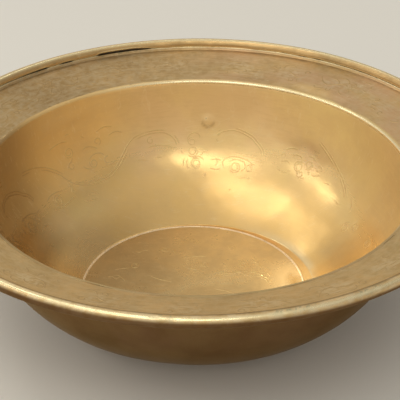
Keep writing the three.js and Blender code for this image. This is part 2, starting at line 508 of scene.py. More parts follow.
def sheet_section(line, lengths, thickness, cap_steps=5):
    """Closed outline of a sheet: its inside, a half round over the end, its outside, a half round.

    Each point is the middle of the sheet plus half the thickness along the inside's normal turned
    by an angle: 0 on the inside, half a turn on the outside, and the angles between over each end.
    The outside has every second of the lengths. Returns radius, height, the normal's two parts,
    the length and 1 on the inside.
    """
    cap = np.linspace(0.0, TURN / 2, cap_steps + 2)[1:-1]
    outer = lengths[::-2]
    places = np.concatenate([lengths, np.full(cap_steps, lengths[-1]), outer,
                             np.full(cap_steps, lengths[0])])
    turns = np.concatenate([np.zeros(len(lengths)), cap, np.full(len(outer), TURN / 2),
                            cap + TURN / 2])
    radius, height, along_r, along_h = line.at(places)
    normal_r, normal_h = -along_h, along_r
    half = np.interp(places, lengths, thickness) / 2.0
    side = np.cos(turns) * half - half
    forward = np.sin(turns) * half
    radius = radius + normal_r * side + along_r * forward
    height = height + normal_h * side + along_h * forward
    return radius, height, normal_r, normal_h, places, (turns < TURN / 4).astype(float)


# Node groups and materials

def node(tree, kind, inputs=None, **settings):
    """Adds a node, applies its settings and fills its inputs with sockets or plain values."""
    made = tree.nodes.new(kind)
    for name, value in settings.items():
        setattr(made, name, value)
    for key, value in (inputs or {}).items():
        if isinstance(value, bpy.types.NodeSocket):
            tree.links.new(value, made.inputs[key])
        else:
            made.inputs[key].default_value = value
    return made


def maths(tree, operation, *values):
    """Socket with the result of a Math node on up to three values."""
    return node(tree, "ShaderNodeMath", dict(enumerate(values)), operation=operation).outputs[0]


def times(tree, first, second):
    """Socket with the product of two values."""
    return maths(tree, "MULTIPLY", first, second)


def plus(tree, first, second):
    """Socket with the sum of two values."""
    return maths(tree, "ADD", first, second)


def minus(tree, first, second):
    """Socket with the first value less the second."""
    return maths(tree, "SUBTRACT", first, second)


def between(tree, value, low, high, start=0.0, end=1.0):
    """Socket that eases from start to end as the value goes from low to high."""
    inputs = {"Value": value, "From Min": low, "From Max": high, "To Min": start, "To Max": end}
    made = node(tree, "ShaderNodeMapRange", inputs, interpolation_type="SMOOTHSTEP")
    return made.outputs["Result"]


def blended(tree, share, first, second):
    """Socket with a colour blended from the first to the second by a share."""
    inputs = {"Factor": share, 6: first, 7: second}
    return node(tree, "ShaderNodeMix", inputs, data_type="RGBA").outputs[2]


def speckle(tree, vector, scale, detail=4.0, roughness=0.55):
    """Socket with a noise value over a vector."""
    inputs = {"Vector": vector, "Scale": scale, "Detail": detail, "Roughness": roughness}
    return node(tree, "ShaderNodeTexNoise", inputs).outputs["Fac"]


def object_place(tree):
    """Socket with the place on the object, in metres."""
    return node(tree, "ShaderNodeTexCoord").outputs["Object"]


def stored(tree, name):
    """Socket with the number stored on the piece's points under a name."""
    made = node(tree, "ShaderNodeAttribute", attribute_name=name, attribute_type="GEOMETRY")
    return made.outputs["Fac"]


def new_group(name, inputs, outputs):
    """Empty shader group with its sockets; returns the tree and its input and output nodes."""
    tree = bpy.data.node_groups.new(name, "ShaderNodeTree")
    for label, kind, default in inputs:
        socket = tree.interface.new_socket(label, in_out="INPUT", socket_type=kind)
        socket.default_value = default
    for label, kind in outputs:
        tree.interface.new_socket(label, in_out="OUTPUT", socket_type=kind)
    return tree, tree.nodes.new("NodeGroupInput"), tree.nodes.new("NodeGroupOutput")


NUMBER = "NodeSocketFloat"
COLOUR = "NodeSocketColor"


def patina_group():
    """Patches of rubbed and dull metal with a finer mottle, and a thin bloom of green."""
    tree, given, out = new_group(
        "Patina",
        [("Rubbed", COLOUR, (1, 1, 1, 1)), ("Dull", COLOUR, (0.5, 0.5, 0.5, 1)),
         ("Bloom", COLOUR, (0.3, 0.4, 0.3, 1)), ("Patch Scale", NUMBER, 22.0),
         ("Mottle", NUMBER, 0.4), ("Bloom Share", NUMBER, 0.2)],
        [("Color", COLOUR), ("Dullness", NUMBER)])
    place = object_place(tree)
    patches = speckle(tree, place, given.outputs["Patch Scale"], 3.0)
    mottle_scale = times(tree, given.outputs["Patch Scale"], 6.5)
    mottle = speckle(tree, place, mottle_scale, 5.0, 0.65)
    grain = speckle(tree, place, 1400.0, 2.0)
    fine = times(tree, minus(tree, mottle, 0.5), given.outputs["Mottle"])
    fine = plus(tree, fine, times(tree, minus(tree, grain, 0.5), 0.12))
    dullness = between(tree, plus(tree, patches, fine), 0.30, 0.70)
    colour = blended(tree, dullness, given.outputs["Rubbed"], given.outputs["Dull"])
    cloud = speckle(tree, node(tree, "ShaderNodeVectorMath", {0: place, 1: (0.31, 0.17, 0.05)},
                               operation="ADD").outputs[0], given.outputs["Patch Scale"], 4.0, 0.6)
    bloom = times(tree, between(tree, cloud, 0.50, 0.72), given.outputs["Bloom Share"])
    colour = blended(tree, bloom, colour, given.outputs["Bloom"])
    tree.links.new(colour, out.inputs["Color"])
    tree.links.new(dullness, out.inputs["Dullness"])
    return tree


def scratch_group():
    """Hair scratches: the thin lines where a stretched noise passes a value near its crests.

    Three layers are stretched in three directions, and broken up by a coarse noise.
    """
    tree, given, out = new_group(
        "Hair Scratches", [("Scale", NUMBER, 60.0), ("Width", NUMBER, 0.012)],
        [("Scratches", NUMBER)])
    place = object_place(tree)
    layers = []
    for turn, stretch in ((0.35, 9.0), (1.45, 7.0), (2.5, 11.0)):
        inputs = {"Vector": place, "Rotation": (0.3, 0.2, turn), "Scale": (1.0, stretch, 1.0)}
        stretched = node(tree, "ShaderNodeMapping", inputs).outputs[0]
        lines = speckle(tree, stretched, given.outputs["Scale"], 1.0, 0.4)
        off = maths(tree, "ABSOLUTE", minus(tree, lines, 0.66))
        layers.append(between(tree, off, 0.0, given.outputs["Width"], 1.0, 0.0))
    all_lines = maths(tree, "MAXIMUM", maths(tree, "MAXIMUM", layers[0], layers[1]), layers[2])
    broken = between(tree, speckle(tree, place, 90.0, 3.0, 0.6), 0.40, 0.60)
    tree.links.new(times(tree, all_lines, broken), out.inputs["Scratches"])
    return tree


def polish_group():
    """Polishing lines that run round the basin.

    A noise over the direction from the axis, where it changes slowly, and over radius plus height,
    where it changes fast.
    """
    tree, given, out = new_group(
        "Polishing Lines", [("Across", NUMBER, 700.0), ("Around", NUMBER, 5.0)],
        [("Lines", NUMBER)])
    parts = node(tree, "ShaderNodeSeparateXYZ", {0: object_place(tree)}).outputs
    flat = node(tree, "ShaderNodeCombineXYZ", {0: parts[0], 1: parts[1]}).outputs[0]
    radius = node(tree, "ShaderNodeVectorMath", {0: flat}, operation="LENGTH").outputs["Value"]
    away = node(tree, "ShaderNodeVectorMath", {0: flat}, operation="NORMALIZE").outputs[0]
    around = node(tree, "ShaderNodeVectorMath", {0: away, 3: given.outputs["Around"]},
                  operation="SCALE").outputs[0]
    across = times(tree, plus(tree, radius, parts[2]), given.outputs["Across"])
    upwards = node(tree, "ShaderNodeCombineXYZ", {2: across}).outputs[0]
    both = node(tree, "ShaderNodeVectorMath", {0: around, 1: upwards}, operation="ADD").outputs[0]
    tree.links.new(speckle(tree, both, 1.0, 3.0, 0.6), out.inputs["Lines"])
    return tree


def use(tree, group, **inputs):
    """Places a shared group in a material and fills its inputs; returns its outputs."""
    made = tree.nodes.new("ShaderNodeGroup")
    made.node_tree = bpy.data.node_groups[group]
    for key, value in inputs.items():
        label = key.replace("_", " ").title()
        if isinstance(value, bpy.types.NodeSocket):
            tree.links.new(value, made.inputs[label])
        else:
            made.inputs[label].default_value = value
    return made.outputs


def new_material(name):
    """Material with only a metal shader and its output; returns it, its tree and the shader."""
    material = bpy.data.materials.new(name)
    material.use_nodes = True
    tree = material.node_tree
    shader = tree.nodes["Principled BSDF"]
    shader.inputs["Metallic"].default_value = 1.0
    return material, tree, shader


def with_alpha(colour):
    """Colour of three parts as the four that a socket holds."""
    return (*colour, 1.0)


def finish_metal(tree, shader, colour, roughness, height, depth):
    """Feeds the shader with a colour, a roughness and a bump of the given depth in metres."""
    tree.links.new(colour, shader.inputs["Base Color"])
    tree.links.new(roughness, shader.inputs["Roughness"])
    bump = node(tree, "ShaderNodeBump", {"Strength": 1.0, "Distance": depth, "Height": height})
    tree.links.new(bump.outputs["Normal"], shader.inputs["Normal"])


def worn_brass(name, rubbed, dull, bloom, deep, light, *, patch_scale, mottle, bloom_share, shine,
               haze, film):
    """Brass with patina, hair scratches and polishing lines; marks named rub_and_highlight, outside,
    bloom, trace, dirt_and_shade, matt and deep on a piece's points make it brighter (rubbed metal,
    in places a painted highlight), tarnished (on the roll's underside a painted dark reflection),
    green, pale, darker (dirt and painted shade), matt and redder.

    Shine and haze are the roughness of the rubbed and of the dullest metal. The film is the share
    of the dullest metal that scatters like a matt skin.
    """
    finish = bpy.context.scene.basin_finish
    material, tree, shader = new_material(name)
    shader.inputs["Specular Tint"].default_value = (1.0, 0.86, 0.62, 1.0)
    patina = use(tree, "Patina", rubbed=with_alpha(rubbed), dull=with_alpha(dull),
                 bloom=with_alpha(bloom), patch_scale=patch_scale, mottle=mottle,
                 bloom_share=bloom_share)
    outside = stored(tree, "outside")
    matt = stored(tree, "matt")
    scratches = use(tree, "Hair Scratches", scale=42.0, width=0.016)["Scratches"]
    scratches = times(tree, scratches, minus(tree, 1.0, outside))
    lines = use(tree, "Polishing Lines", across=620.0, around=6.0)["Lines"]
    place = object_place(tree)

    colour = blended(tree, times(tree, matt, 0.45), patina["Color"],
                     with_alpha(finish.side_matt))
    colour = blended(tree, stored(tree, "deep"), colour, with_alpha(deep))
    streak = use(tree, "Polishing Lines", across=420.0, around=11.0)["Lines"]
    shade = times(tree, stored(tree, "trace"), 0.5)
    shade = plus(tree, shade, times(tree, patina["Dullness"], 0.22))
    shade = times(tree, between(tree, streak, 0.42, 0.66), shade)
    blotch = speckle(tree, place, 30.0, 6.0, 0.62)
    cloudy = times(tree, between(tree, blotch, 0.42, 0.62), 0.30)
    shade = plus(tree, shade, cloudy)
    colour = blended(tree, shade, colour, with_alpha(tuple(0.82 * part for part in dull)))
    worn = between(tree, speckle(tree, place, 210.0, 5.0, 0.65), 0.38, 0.66)
    worn = maths(tree, "MAXIMUM", worn, between(tree, streak, 0.36, 0.50, 1.0, 0.0))
    trace = times(tree, stored(tree, "trace"), worn)
    colour = blended(tree, trace, colour, with_alpha(finish.rim_trace))
    # The outside mark tarnishes the outer sheets; on the roll's lower outside it is a painted dark
    # reflection
    tarnished = times(tree, outside, between(tree, blotch, 0.2, 0.75, 0.95, 0.86))
    colour = blended(tree, tarnished, colour, with_alpha(finish.tarnish_and_shade))
    # Painted shade, with some dirt, darkens the brass towards the tarnish colour
    colour = blended(tree, stored(tree, "dirt_and_shade"), colour, with_alpha(finish.tarnish_and_shade))
    spots = speckle(tree, place, 420.0, 3.0, 0.7)
    green = times(tree, stored(tree, "bloom"), between(tree, spots, 0.48, 0.60))
    colour = blended(tree, green, colour, with_alpha(finish.verdigris))
    # Rubbed metal, in places a painted highlight, turns brighter and smoother
    rub_break = between(tree, speckle(tree, place, 160.0, 4.0, 0.6), 0.25, 0.6, 0.7, 1.0)
    rub_and_highlight = times(tree, stored(tree, "rub_and_highlight"), rub_break)
    colour = blended(tree, rub_and_highlight, colour, with_alpha(light))
    colour = blended(tree, times(tree, scratches, 0.22), colour, with_alpha(light))

    rough = between(tree, patina["Dullness"], 0.0, 1.0, shine, haze)
    rough = plus(tree, rough, times(tree, matt, 0.12))
    rough = minus(tree, rough, times(tree, stored(tree, "deep"), 0.05))
    rough = plus(tree, rough, times(tree, minus(tree, lines, 0.5), 0.10))
    rough = plus(tree, rough, times(tree, tarnished, 0.12))
    rough = plus(tree, rough, times(tree, green, 0.25))
    rough = minus(tree, rough, times(tree, rub_and_highlight, 0.26))
    rough = maths(tree, "MAXIMUM", rough, 0.12)

    height = times(tree, lines, 0.30)
    height = plus(tree, height, times(tree, speckle(tree, place, 260.0, 3.0, 0.6), 0.28))
    height = minus(tree, height, times(tree, scratches, 0.06))
    height = minus(tree, height, times(tree, green, 0.35))
    metal = between(tree, patina["Dullness"], 0.0, 1.0, 1.0 - 0.8 * film, 1.0 - film)
    metal = times(tree, metal, between(tree, matt, 0.0, 1.0, 1.0, 0.25))
    metal = maths(tree, "MAXIMUM", metal, maths(tree, "MAXIMUM", tarnished, rub_and_highlight))
    tree.links.new(metal, shader.inputs["Metallic"])
    finish_metal(tree, shader, colour, rough, height, 0.00006)
    return material


def engraved_brass(name, rubbed, dull):
    """Brass of a cut line: rubbed bright on its burrs and dark in its groove."""
    material, tree, shader = new_material(name)
    shader.inputs["Metallic"].default_value = 0.75
    groove = stored(tree, "groove")
    worn = speckle(tree, object_place(tree), 240.0, 4.0, 0.6)
    metal = blended(tree, between(tree, worn, 0.35, 0.65), with_alpha(rubbed), with_alpha(dull))
    dark = tuple(0.42 * part for part in dull)
    filled = times(tree, groove, between(tree, worn, 0.25, 0.7, 1.0, 0.6))
    colour = blended(tree, filled, metal, with_alpha(dark))
    # Painted shade, with some dirt, darkens the line towards the tarnish colour
    tarnish_and_shade = with_alpha(bpy.context.scene.basin_finish.tarnish_and_shade)
    colour = blended(tree, stored(tree, "dirt_and_shade"), colour, tarnish_and_shade)
    rough = plus(tree, times(tree, groove, 0.2), between(tree, worn, 0.3, 0.7, 0.3, 0.42))
    finish_metal(tree, shader, colour, rough, worn, 0.00002)
    return material


def solder_metal(name, tint):
    """Brazing solder, flowed and rubbed, with small pores and dull stretches."""
    material, tree, shader = new_material(name)
    shader.inputs["Metallic"].default_value = 0.6
    place = object_place(tree)
    flow = speckle(tree, place, 90.0, 4.0, 0.6)
    pores = between(tree, speckle(tree, place, 900.0, 2.0, 0.5), 0.30, 0.40, 1.0, 0.0)
    dull = tuple(0.80 * part for part in tint)
    colour = blended(tree, between(tree, flow, 0.35, 0.7), with_alpha(tint), with_alpha(dull))
    colour = blended(tree, times(tree, pores, 0.6), colour, (0.12, 0.08, 0.04, 1.0))
    rough = between(tree, flow, 0.3, 0.7, 0.46, 0.60)
    height = minus(tree, flow, pores)
    finish_metal(tree, shader, colour, rough, height, 0.00005)
    return material


def iron_metal(name, tint, rust):
    """Drawn iron wire: dark, with drawing lines along it and a little rust."""
    material, tree, shader = new_material(name)
    place = object_place(tree)
    lines = use(tree, "Polishing Lines", across=3000.0, around=3.0)["Lines"]
    rusted = between(tree, speckle(tree, place, 120.0, 5.0, 0.65), 0.50, 0.68)
    colour = blended(tree, times(tree, rusted, 0.7), with_alpha(tint), with_alpha(rust))
    rough = between(tree, rusted, 0.0, 1.0, 0.45, 0.8)
    finish_metal(tree, shader, colour, rough, plus(tree, lines, rusted), 0.00004)
    return material


def shared_groups():
    """Builds the groups that the materials share, once."""
    if "Patina" not in bpy.data.node_groups:
        patina_group()
        scratch_group()
        polish_group()


def place_piece(piece, material, slot, *nodes):
    """Gives a piece its material, puts it on its body and hides what it stands for; the slot is not
    used.
    """
    piece.data.materials.append(material)
    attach(piece, "root")
    if nodes:
        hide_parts(*nodes)


# The pieces

class BASIN_OT_side(Operator):
    """Side of the bowl: one sheet from the turned-in seat to the hammered lip"""

    bl_idname = "basin.side"
    bl_label = "Side"

    def execute(self, context):
        s = context.scene.basin_sizes
        finish = context.scene.basin_finish
        shared_groups()
        line, corner = side_line(s)
        total = line.lengths[-1]
        lip_start = total - s.lip_bend * TURN / 4 - s.lip_reach
        lengths = np.concatenate([
            np.linspace(0.0, corner - 2 * MM, 5),
            np.linspace(corner - 1.4 * MM, corner + 2 * MM, 7),
            np.linspace(corner + 3.4 * MM, lip_start - 0.8 * MM, 74),
            np.linspace(lip_start, total, 16),
        ])
        thickness = np.interp(lengths, [0.0, lip_start, lip_start + 2.2 * MM, total],
                              [s.sheet, s.sheet, 0.9 * LIP_STANDS, LIP_EDGE])
        radius, height, normal_r, normal_h, places, inside = sheet_section(line, lengths, thickness)

        angle = angles_round(FINE_ROUND)
        along = places[None, :] - corner
        bend = side_bend(s, angle, along)
        at_lip = eased(places[None, :], lip_start + 1.6 * MM, total)
        ragged = slow_waves(angle, 0.0, 0.28 * MM, 34, 0.0, seed=31) - 0.1 * MM
        ragged = ragged + slow_waves(angle, 0.0, 0.10 * MM, 110, 0.0, seed=37, count=40)
        split = np.exp(-((angle_between(angle, math.radians(-20.2)) * s.mouth_radius / (0.7 * MM)) ** 2))
        ragged = np.clip(ragged, -0.9 * MM, 0.9 * MM) * (1 - split) - 2.1 * MM * split
        hammered = slow_waves(angle, 0.0, 0.04 * MM, 70, 0.0, seed=41) * at_lip * inside
        radius = radius + normal_r * bend + at_lip * ragged
        height = height + normal_h * bend + hammered
        piece = turned_ring("side_sheet", radius, height, angle)

        self.wear(piece, s, angle, places, corner, lip_start, inside)
        mark(piece, "outside", np.broadcast_to(1.0 - inside, radius.shape) * (1 - at_lip))
        mark(piece, "bloom", 0.8 * split * at_lip + np.zeros(radius.shape))
        material = worn_brass("side_brass", finish.side_bright, finish.side_dull, finish.side_rosy,
                              finish.side_deep, finish.side_rub_highlight, patch_scale=12.0, mottle=0.2,
                              bloom_share=0.75, shine=0.21, haze=0.29, film=0.36)
        place_piece(piece, material, "side_brass", "bowl_wall")
        return {"FINISHED"}

    def wear(self, piece, s, angle, places, corner, lip_start, inside):
        """Marks inside: a painted highlight, as rubbed metal, on the right-back half of the lip's bend,
        on the seat's right edge and at the boss's upper left; the lip darker on its other half, most at
        the front; painted shade, most on the left and high up, at the foot and under the boss; and a
        matt band under the mouth.

        Each share eases over the cosine of the angle from its middle and over the length up.
        """
        along = places[None, :] - corner
        on_bend = eased(places, lip_start - 1.0 * MM, lip_start + 1.2 * MM) * inside
        on_bend = on_bend * (1.0 - eased(places, lip_start + 3.0 * MM, lip_start + 3.6 * MM))
        # Painted highlight as rubbed metal: the right-back half of the lip's bend, the seat's right edge
        # and a spot at the boss's upper left
        shine = near_angle(angle, 46, 0.10, 0.65)
        boss_left = angle_between(angle, BOSS_ANGLE) * s.mouth_radius + 1.6 * MM
        boss_highlight_distance = np.hypot(boss_left, along - BOSS_ALONG - 1.8 * MM) / (1.3 * MM)
        seat = near_angle(angle, 80, 0.5) * (1.0 - eased(along, 1 * MM, 8 * MM))
        worn = np.maximum(0.85 * shine * on_bend, 0.5 * seat * inside)
        mark(piece, "rub_and_highlight", worn + 0.9 * inside * np.exp(-(boss_highlight_distance**2)))

        # Painted shade: darker on the left, high up, at the foot and in a crescent under the boss; the
        # lip is darker away from its painted highlight, most at the front
        side_shade = painted_side_shade(angle, along)
        on_lip = eased(places, lip_start + 0.5 * MM, lip_start + 3.2 * MM)
        dull = 0.10 + 0.38 * eased(-np.cos(angle), -0.2, 0.5)
        dirt_and_shade = side_shade + dull * (1.0 - shine) * on_lip
        mark(piece, "dirt_and_shade", inside * np.maximum(painted_boss_shade(s, angle, along), dirt_and_shade))

        low = 1.0 - eased(along, 25 * MM, 85 * MM)
        low = low * (1.0 - 0.8 * near_angle(angle, -90, 0.4, 0.95))
        golden = near_angle(angle, -56, 0.78) * eased(along, 30 * MM, 60 * MM)
        olive = near_angle(angle, -92, 0.5, 0.95) * (1.0 - eased(along, 40 * MM, 62 * MM))
        # The deeper, redder colour also spreads over the painted shade
        golden = 1.6 * side_shade * (1.0 - 0.85 * olive) + 0.9 * golden
        mark(piece, "deep", inside * np.clip(low + golden, 0.0, 1.0))

        drift = slow_waves(angle, 0.0, 5 * MM, 7, 0.0, seed=79)
        drift = drift + 16 * MM * near_angle(angle, -50, 0.6)
        drift = drift + 12 * MM * near_angle(angle, 85, 0.6)
        mark(piece, "matt", inside * eased(along + drift, 60 * MM, 88 * MM))


class BASIN_OT_floor(Operator):
    """Floor disc and the solder bead round its edge"""

    bl_idname = "basin.floor"
    bl_label = "Floor and its solder"

    def execute(self, context):
        s = context.scene.basin_sizes
        finish = context.scene.basin_finish
        shared_groups()
        disc = s.base_radius - s.floor_inset
        bottom = s.sheet + s.seam
        top = bottom + s.sheet
        bevel = 0.4 * MM
        angle = angles_round(PLAIN_ROUND)
        reach = np.concatenate([np.linspace(0.02, 0.995, 96) * disc, [disc - bevel]])
        edge_r = np.array([disc - 0.12 * MM, disc, disc])
        edge_h = np.array([top - 0.1 * MM, top - bevel, bottom + 0.1 * MM])
        under_r = np.concatenate([[disc - 0.1 * MM], reach[::-12]])
        radius = np.concatenate([reach, edge_r, under_r])
        height = np.concatenate([np.full(len(reach), top), edge_h, np.full(len(under_r), bottom)])
        flat = np.concatenate([np.ones(len(reach)), np.zeros(3), np.ones(len(under_r))])
        height = height + flat * floor_bend(s, angle, radius)
        points = turned(radius, height, angle)
        count, along = points.shape[:2]
        quads = ring_quads(count, along).reshape(count, along, 4)[:, :-1].reshape(-1, 4)
        rim = np.arange(count) * along
        poles = np.array([[0.0, 0.0, top], [0.0, 0.0, bottom]])
        fan_top = np.stack([rim, np.roll(rim, 1), np.full(count, count * along)], -1)
        fan_under = np.stack([np.roll(rim, 1), rim, np.full(count, count * along + 1)], -1)
        fan_under[:, :2] += along - 1
        points = np.vstack([points.reshape(-1, 3), poles])
        points[:, 0] += s.floor_shift
        piece = new_mesh("floor_sheet", points, quads, np.vstack([fan_top, fan_under]))
        below = np.concatenate([np.zeros(len(reach) + 1), np.ones(2 + len(under_r))])
        mark(piece, "outside", np.concatenate([np.tile(below, count), [0.0, 1.0]]))
        on_top = points[:, 2] > bottom + 0.5 * s.sheet
        # Painted highlight: the floor's right end is brightened as rubbed metal
        middle = (points[:, 0] - 0.073) ** 2 / 0.012**2 + (points[:, 1] - 0.002) ** 2 / 0.028**2
        mark(piece, "rub_and_highlight", 0.9 * np.exp(-middle) * on_top)
        # Painted shade: the floor darkens towards the left
        mark(piece, "dirt_and_shade", 0.46 * painted_floor_shade(points[:, 0]) * on_top)
        material = worn_brass("floor_brass", finish.floor_bright, finish.floor_dull, finish.rim_dull,
                              finish.side_deep, finish.floor_painted_highlight, patch_scale=18.0, mottle=0.5,
                              bloom_share=0.16, shine=0.26, haze=0.38, film=0.60)
        place_piece(piece, material, "floor_brass", "floor_disc")

        self.bead(s, disc, top, finish)
        return {"FINISHED"}

    def bead(self, s, disc, top, finish):
        """Bead of solder: half a sine wave up from the disc, and a rounder fall to the seat.

        Its width and rise change slowly all round, as flowed solder does.
        """
        angle = angles_round(FINE_ROUND)
        swell = 1.0 + slow_waves(angle, 0.0, 0.10, 26, 0.0, seed=43)
        swell = np.clip(swell + slow_waves(angle, 0.0, 0.05, 90, 0.0, seed=47), 0.75, 1.25)
        share = np.linspace(0.0, 1.0, 15)[None, :]
        inner = disc - 0.6 * MM * swell
        outer = disc + s.seam + s.bead_width * (0.75 + 0.2 * swell)
        radius = inner + (outer - inner) * share
        crest = top + 0.85 * s.bead_rise * swell
        rising = top - 0.1 * MM + (crest - top + 0.1 * MM) * np.sin(share * TURN / 2) ** 0.7
        foot = s.sheet + 0.05 * MM
        falling = foot + (crest - foot) * np.clip(np.cos((share - 0.5) * TURN / 2), 0.0, 1.0) ** 0.6
        height = np.where(share < 0.5, rising, falling)
        radius = np.concatenate([radius, outer, inner + 0.2 * MM], 1)
        radius = np.clip(radius, None, disc + s.seam + s.bead_width)
        height = np.concatenate([height, foot + 0.0 * outer, foot + 0.0 * outer], 1)
        height = np.clip(height, None, top + s.bead_rise)
        points = turned(radius, height, angle)
        points[..., 0] += s.floor_shift
        piece = new_mesh("floor_bead", points.reshape(-1, 3), ring_quads(*points.shape[:2]))
        place_piece(piece, solder_metal("floor_solder", finish.solder), "solder", "floor_solder")


class BASIN_OT_rim(Operator):
    """Broad rim with its rolled edge and ragged lip, the wire in it and the fillet under it"""

    bl_idname = "basin.rim"
    bl_label = "Rim, wire and fillet"

    def execute(self, context):
        s = context.scene.basin_sizes
        finish = context.scene.basin_finish
        shared_groups()
        self.sheet(s, finish)
        self.wire(s, finish)
        self.fillet(s, finish)
        return {"FINISHED"}

    def sheet(self, s, finish):
        """Top face outwards, round the inside of the roll, over the raw lip, back and underneath.

        The roll is an arc about the wire from where it leaves the face to the lip's end, which
        changes all round; nicks push its outside in, and the lip lifts a little towards its end.
        """
        centre, inner, slope = rim_measures(s)
        roll_inner = s.wire_radius + s.seam
        roll_outer = roll_inner + s.sheet
        angle = angles_round(FINE_ROUND)
        start = slope - TURN / 4
        end = lip_end(angle)
        ones = np.ones(angle.shape)

        leave = centre[0] + roll_inner * math.cos(start)
        foot = centre[0] - 3.8 * MM
        face = ones * np.concatenate([np.linspace(inner[0] + 0.3 * MM, foot - 0.3 * MM, 28),
                                      np.linspace(foot, foot + 1.8 * MM, 10),
                                      np.linspace(foot + 2.4 * MM, leave - 0.5 * MM, 4)])
        closed = eased(end + LIP_CUT, math.radians(217.0), math.radians(229.0))
        closed = closed * (0.9 + slow_waves(angle, 0.0, 0.1, 60, 0.0, seed=73))
        climb = np.clip((face - foot) / (1.0 * MM), 0.0, 1.0) ** 2
        climb = climb * (1.0 - eased(face, foot + 1.2 * MM, foot + 2.4 * MM))
        climb = climb * (1.7 + 0.4 * closed) * MM
        face_h = rim_face(s, face, 0.0) + rim_bend(s, angle, face) + climb

        share = np.linspace(0.0, 1.0, 15)
        turn_in = start + (end - start) * share
        lift = 0.12 * MM * (1.0 + slow_waves(angle, 0.0, 0.6, 40, 0.0, seed=53))
        rise_in = lift * eased(share, 0.7, 1.0)
        inside_r = centre[0] + (roll_inner + rise_in) * np.cos(turn_in)
        inside_h = centre[1] + (roll_inner + rise_in) * np.sin(turn_in)

        over = np.linspace(1.0, 0.0, 42)
        turn_out = start + (end - start) * over
        body = roll_outer + lift * eased(over, 0.7, 1.0) - bead_dents(angle, turn_out, centre[0])
        body = body - 0.16 * MM * eased(over, 0.965, 1.0) - 0.6 * MM * eased(turn_out, 1.6, 2.6)
        outside_r = centre[0] + body * np.cos(turn_out)
        outside_h = centre[1] + body * np.sin(turn_out)

        under = ones * np.linspace(centre[0] + roll_outer * math.cos(start) - 1.0 * MM,
                                   inner[0] + 0.3 * MM, 20)
        under_h = rim_face(s, under, -s.sheet) + rim_bend(s, angle, under)
        edge = ones * np.array([inner[0], inner[0]])
        edge_h = rim_face(s, edge, 0.0) + ones * np.array([-s.sheet + 0.3 * MM, -0.3 * MM])

        parts = {"face": face, "inside": inside_r, "outside": outside_r, "under": under, "edge": edge}
        radius = np.concatenate(list(parts.values()), 1)
        height = np.concatenate([face_h, inside_h, outside_h, under_h, edge_h], 1)
        piece = turned_ring("rim_sheet", radius, height, angle)
        self.wear(s, piece, parts, angle, foot, closed, over, turn_out)
        material = worn_brass("rim_brass", finish.rim_bright, finish.rim_dull, finish.verdigris,
                              finish.rim_rosy, finish.rim_crest_highlight, patch_scale=15.0, mottle=0.9,
                              bloom_share=0.30, shine=0.34, haze=0.48, film=0.36)
        place_piece(piece, material, "rim_brass", "rim_flange")

    def mark_section(self, piece, name, parts, **values):
        """Stores a mark all round the section: on each part the value given for it, or else 0."""
        joined = [values.get(part, 0.0) + 0.0 * radius for part, radius in parts.items()]
        mark(piece, name, np.concatenate(joined, 1))

    def wear(self, s, piece, parts, angle, foot, closed, over, turn_out):
        """Marks: the roll's crest, the lip's end and the face under a closed lip are rubbed bright, in
        part a painted highlight; its outside low down is darkened as a painted dark reflection, and the
        underside is tarnished; painted shade lies on its inner half and on the face at the back and
        left; green sits in nicks and in the crevice, and the face is pale round the engraving and
        redder on the right.

        The crest is a Gaussian over the angle round the roll, and the pale patches fall off with the
        fourth power of the distance; the other shares ease over an angle or a radius.
        """
        centre, _, _ = rim_measures(s)
        face = parts["face"]
        # Painted highlight in part: the polished crest moves round the roll with the angle to where the
        # lamps are mirrored, and the face under a closed lip is brightened into a bright line
        crest = 80.0 + 26.0 * np.cos(angle) - 13.0 * np.sin(angle)
        broad = 0.27 + 0.16 * near_angle(angle, 60, 0.7)
        broad = broad + 0.12 * near_angle(angle, -65, 0.8)
        crown_highlight = np.exp(-(((turn_out - np.radians(crest)) / broad) ** 2))
        worn = np.clip(0.8 * crown_highlight + 0.9 * eased(over, 0.9, 0.99), 0.0, 1.0)
        lip_line_highlight = closed * np.clip((face - foot - 0.7 * MM) / (0.3 * MM), 0.0, 1.0)
        self.mark_section(piece, "rub_and_highlight", parts, face=lip_line_highlight, outside=worn)

        # Painted dark reflection: the roll's outside low down is darkened with tarnish
        later = 0.25 * np.sin(angle) + 0.3 * np.maximum(np.sin(angle), 0.0)
        dark_underside_reflection = 1.0 - eased(turn_out + later, 0.10, 0.75)
        self.mark_section(piece, "outside", parts, outside=dark_underside_reflection, under=1.0, edge=1.0)

        nicked = sum(np.exp(-(angle_between(angle, math.radians(place)) * centre[0] / (6 * MM)) ** 2)
                     for place, *_ in BEAD_NICKS)
        lichen = np.clip(nicked, 0.0, 1.0) * np.exp(-((turn_out - 1.1) / 0.5) ** 2)
        crevice = 0.6 * (1.0 - closed) * eased(face, foot - 0.5 * MM, foot + 1.5 * MM)
        self.mark_section(piece, "bloom", parts, face=crevice, inside=0.8, outside=0.7 * lichen,
                          under=0.3)

        near = sum(np.exp(-(((angle_between(angle, math.radians(place)) * face) / (15 * MM)) ** 2
                            + ((face - out * MM) / (9 * MM)) ** 2) ** 2)
                   for place, out, *_ in RIM_PLACES)
        brushed = 0.25 + 0.35 * near_angle(angle, -50, 0.6)
        pale = np.maximum(0.6 * np.clip(near, 0.0, 1.0), brushed)
        self.mark_section(piece, "trace", parts, face=pale,
                          outside=0.7 * (1.0 - eased(turn_out, 1.5, 2.0)))

        # Painted shade on the roll's inner half, most at the front, and on the face at the back and left
        inner_half_shade = eased(turn_out - 0.34 * np.cos(angle) + 0.15 * np.sin(angle), 1.60, 2.05)
        inner_half_shade = inner_half_shade * (0.40 - 0.12 * np.cos(angle))
        self.mark_section(piece, "dirt_and_shade", parts, face=painted_rim_shade(angle), outside=inner_half_shade)

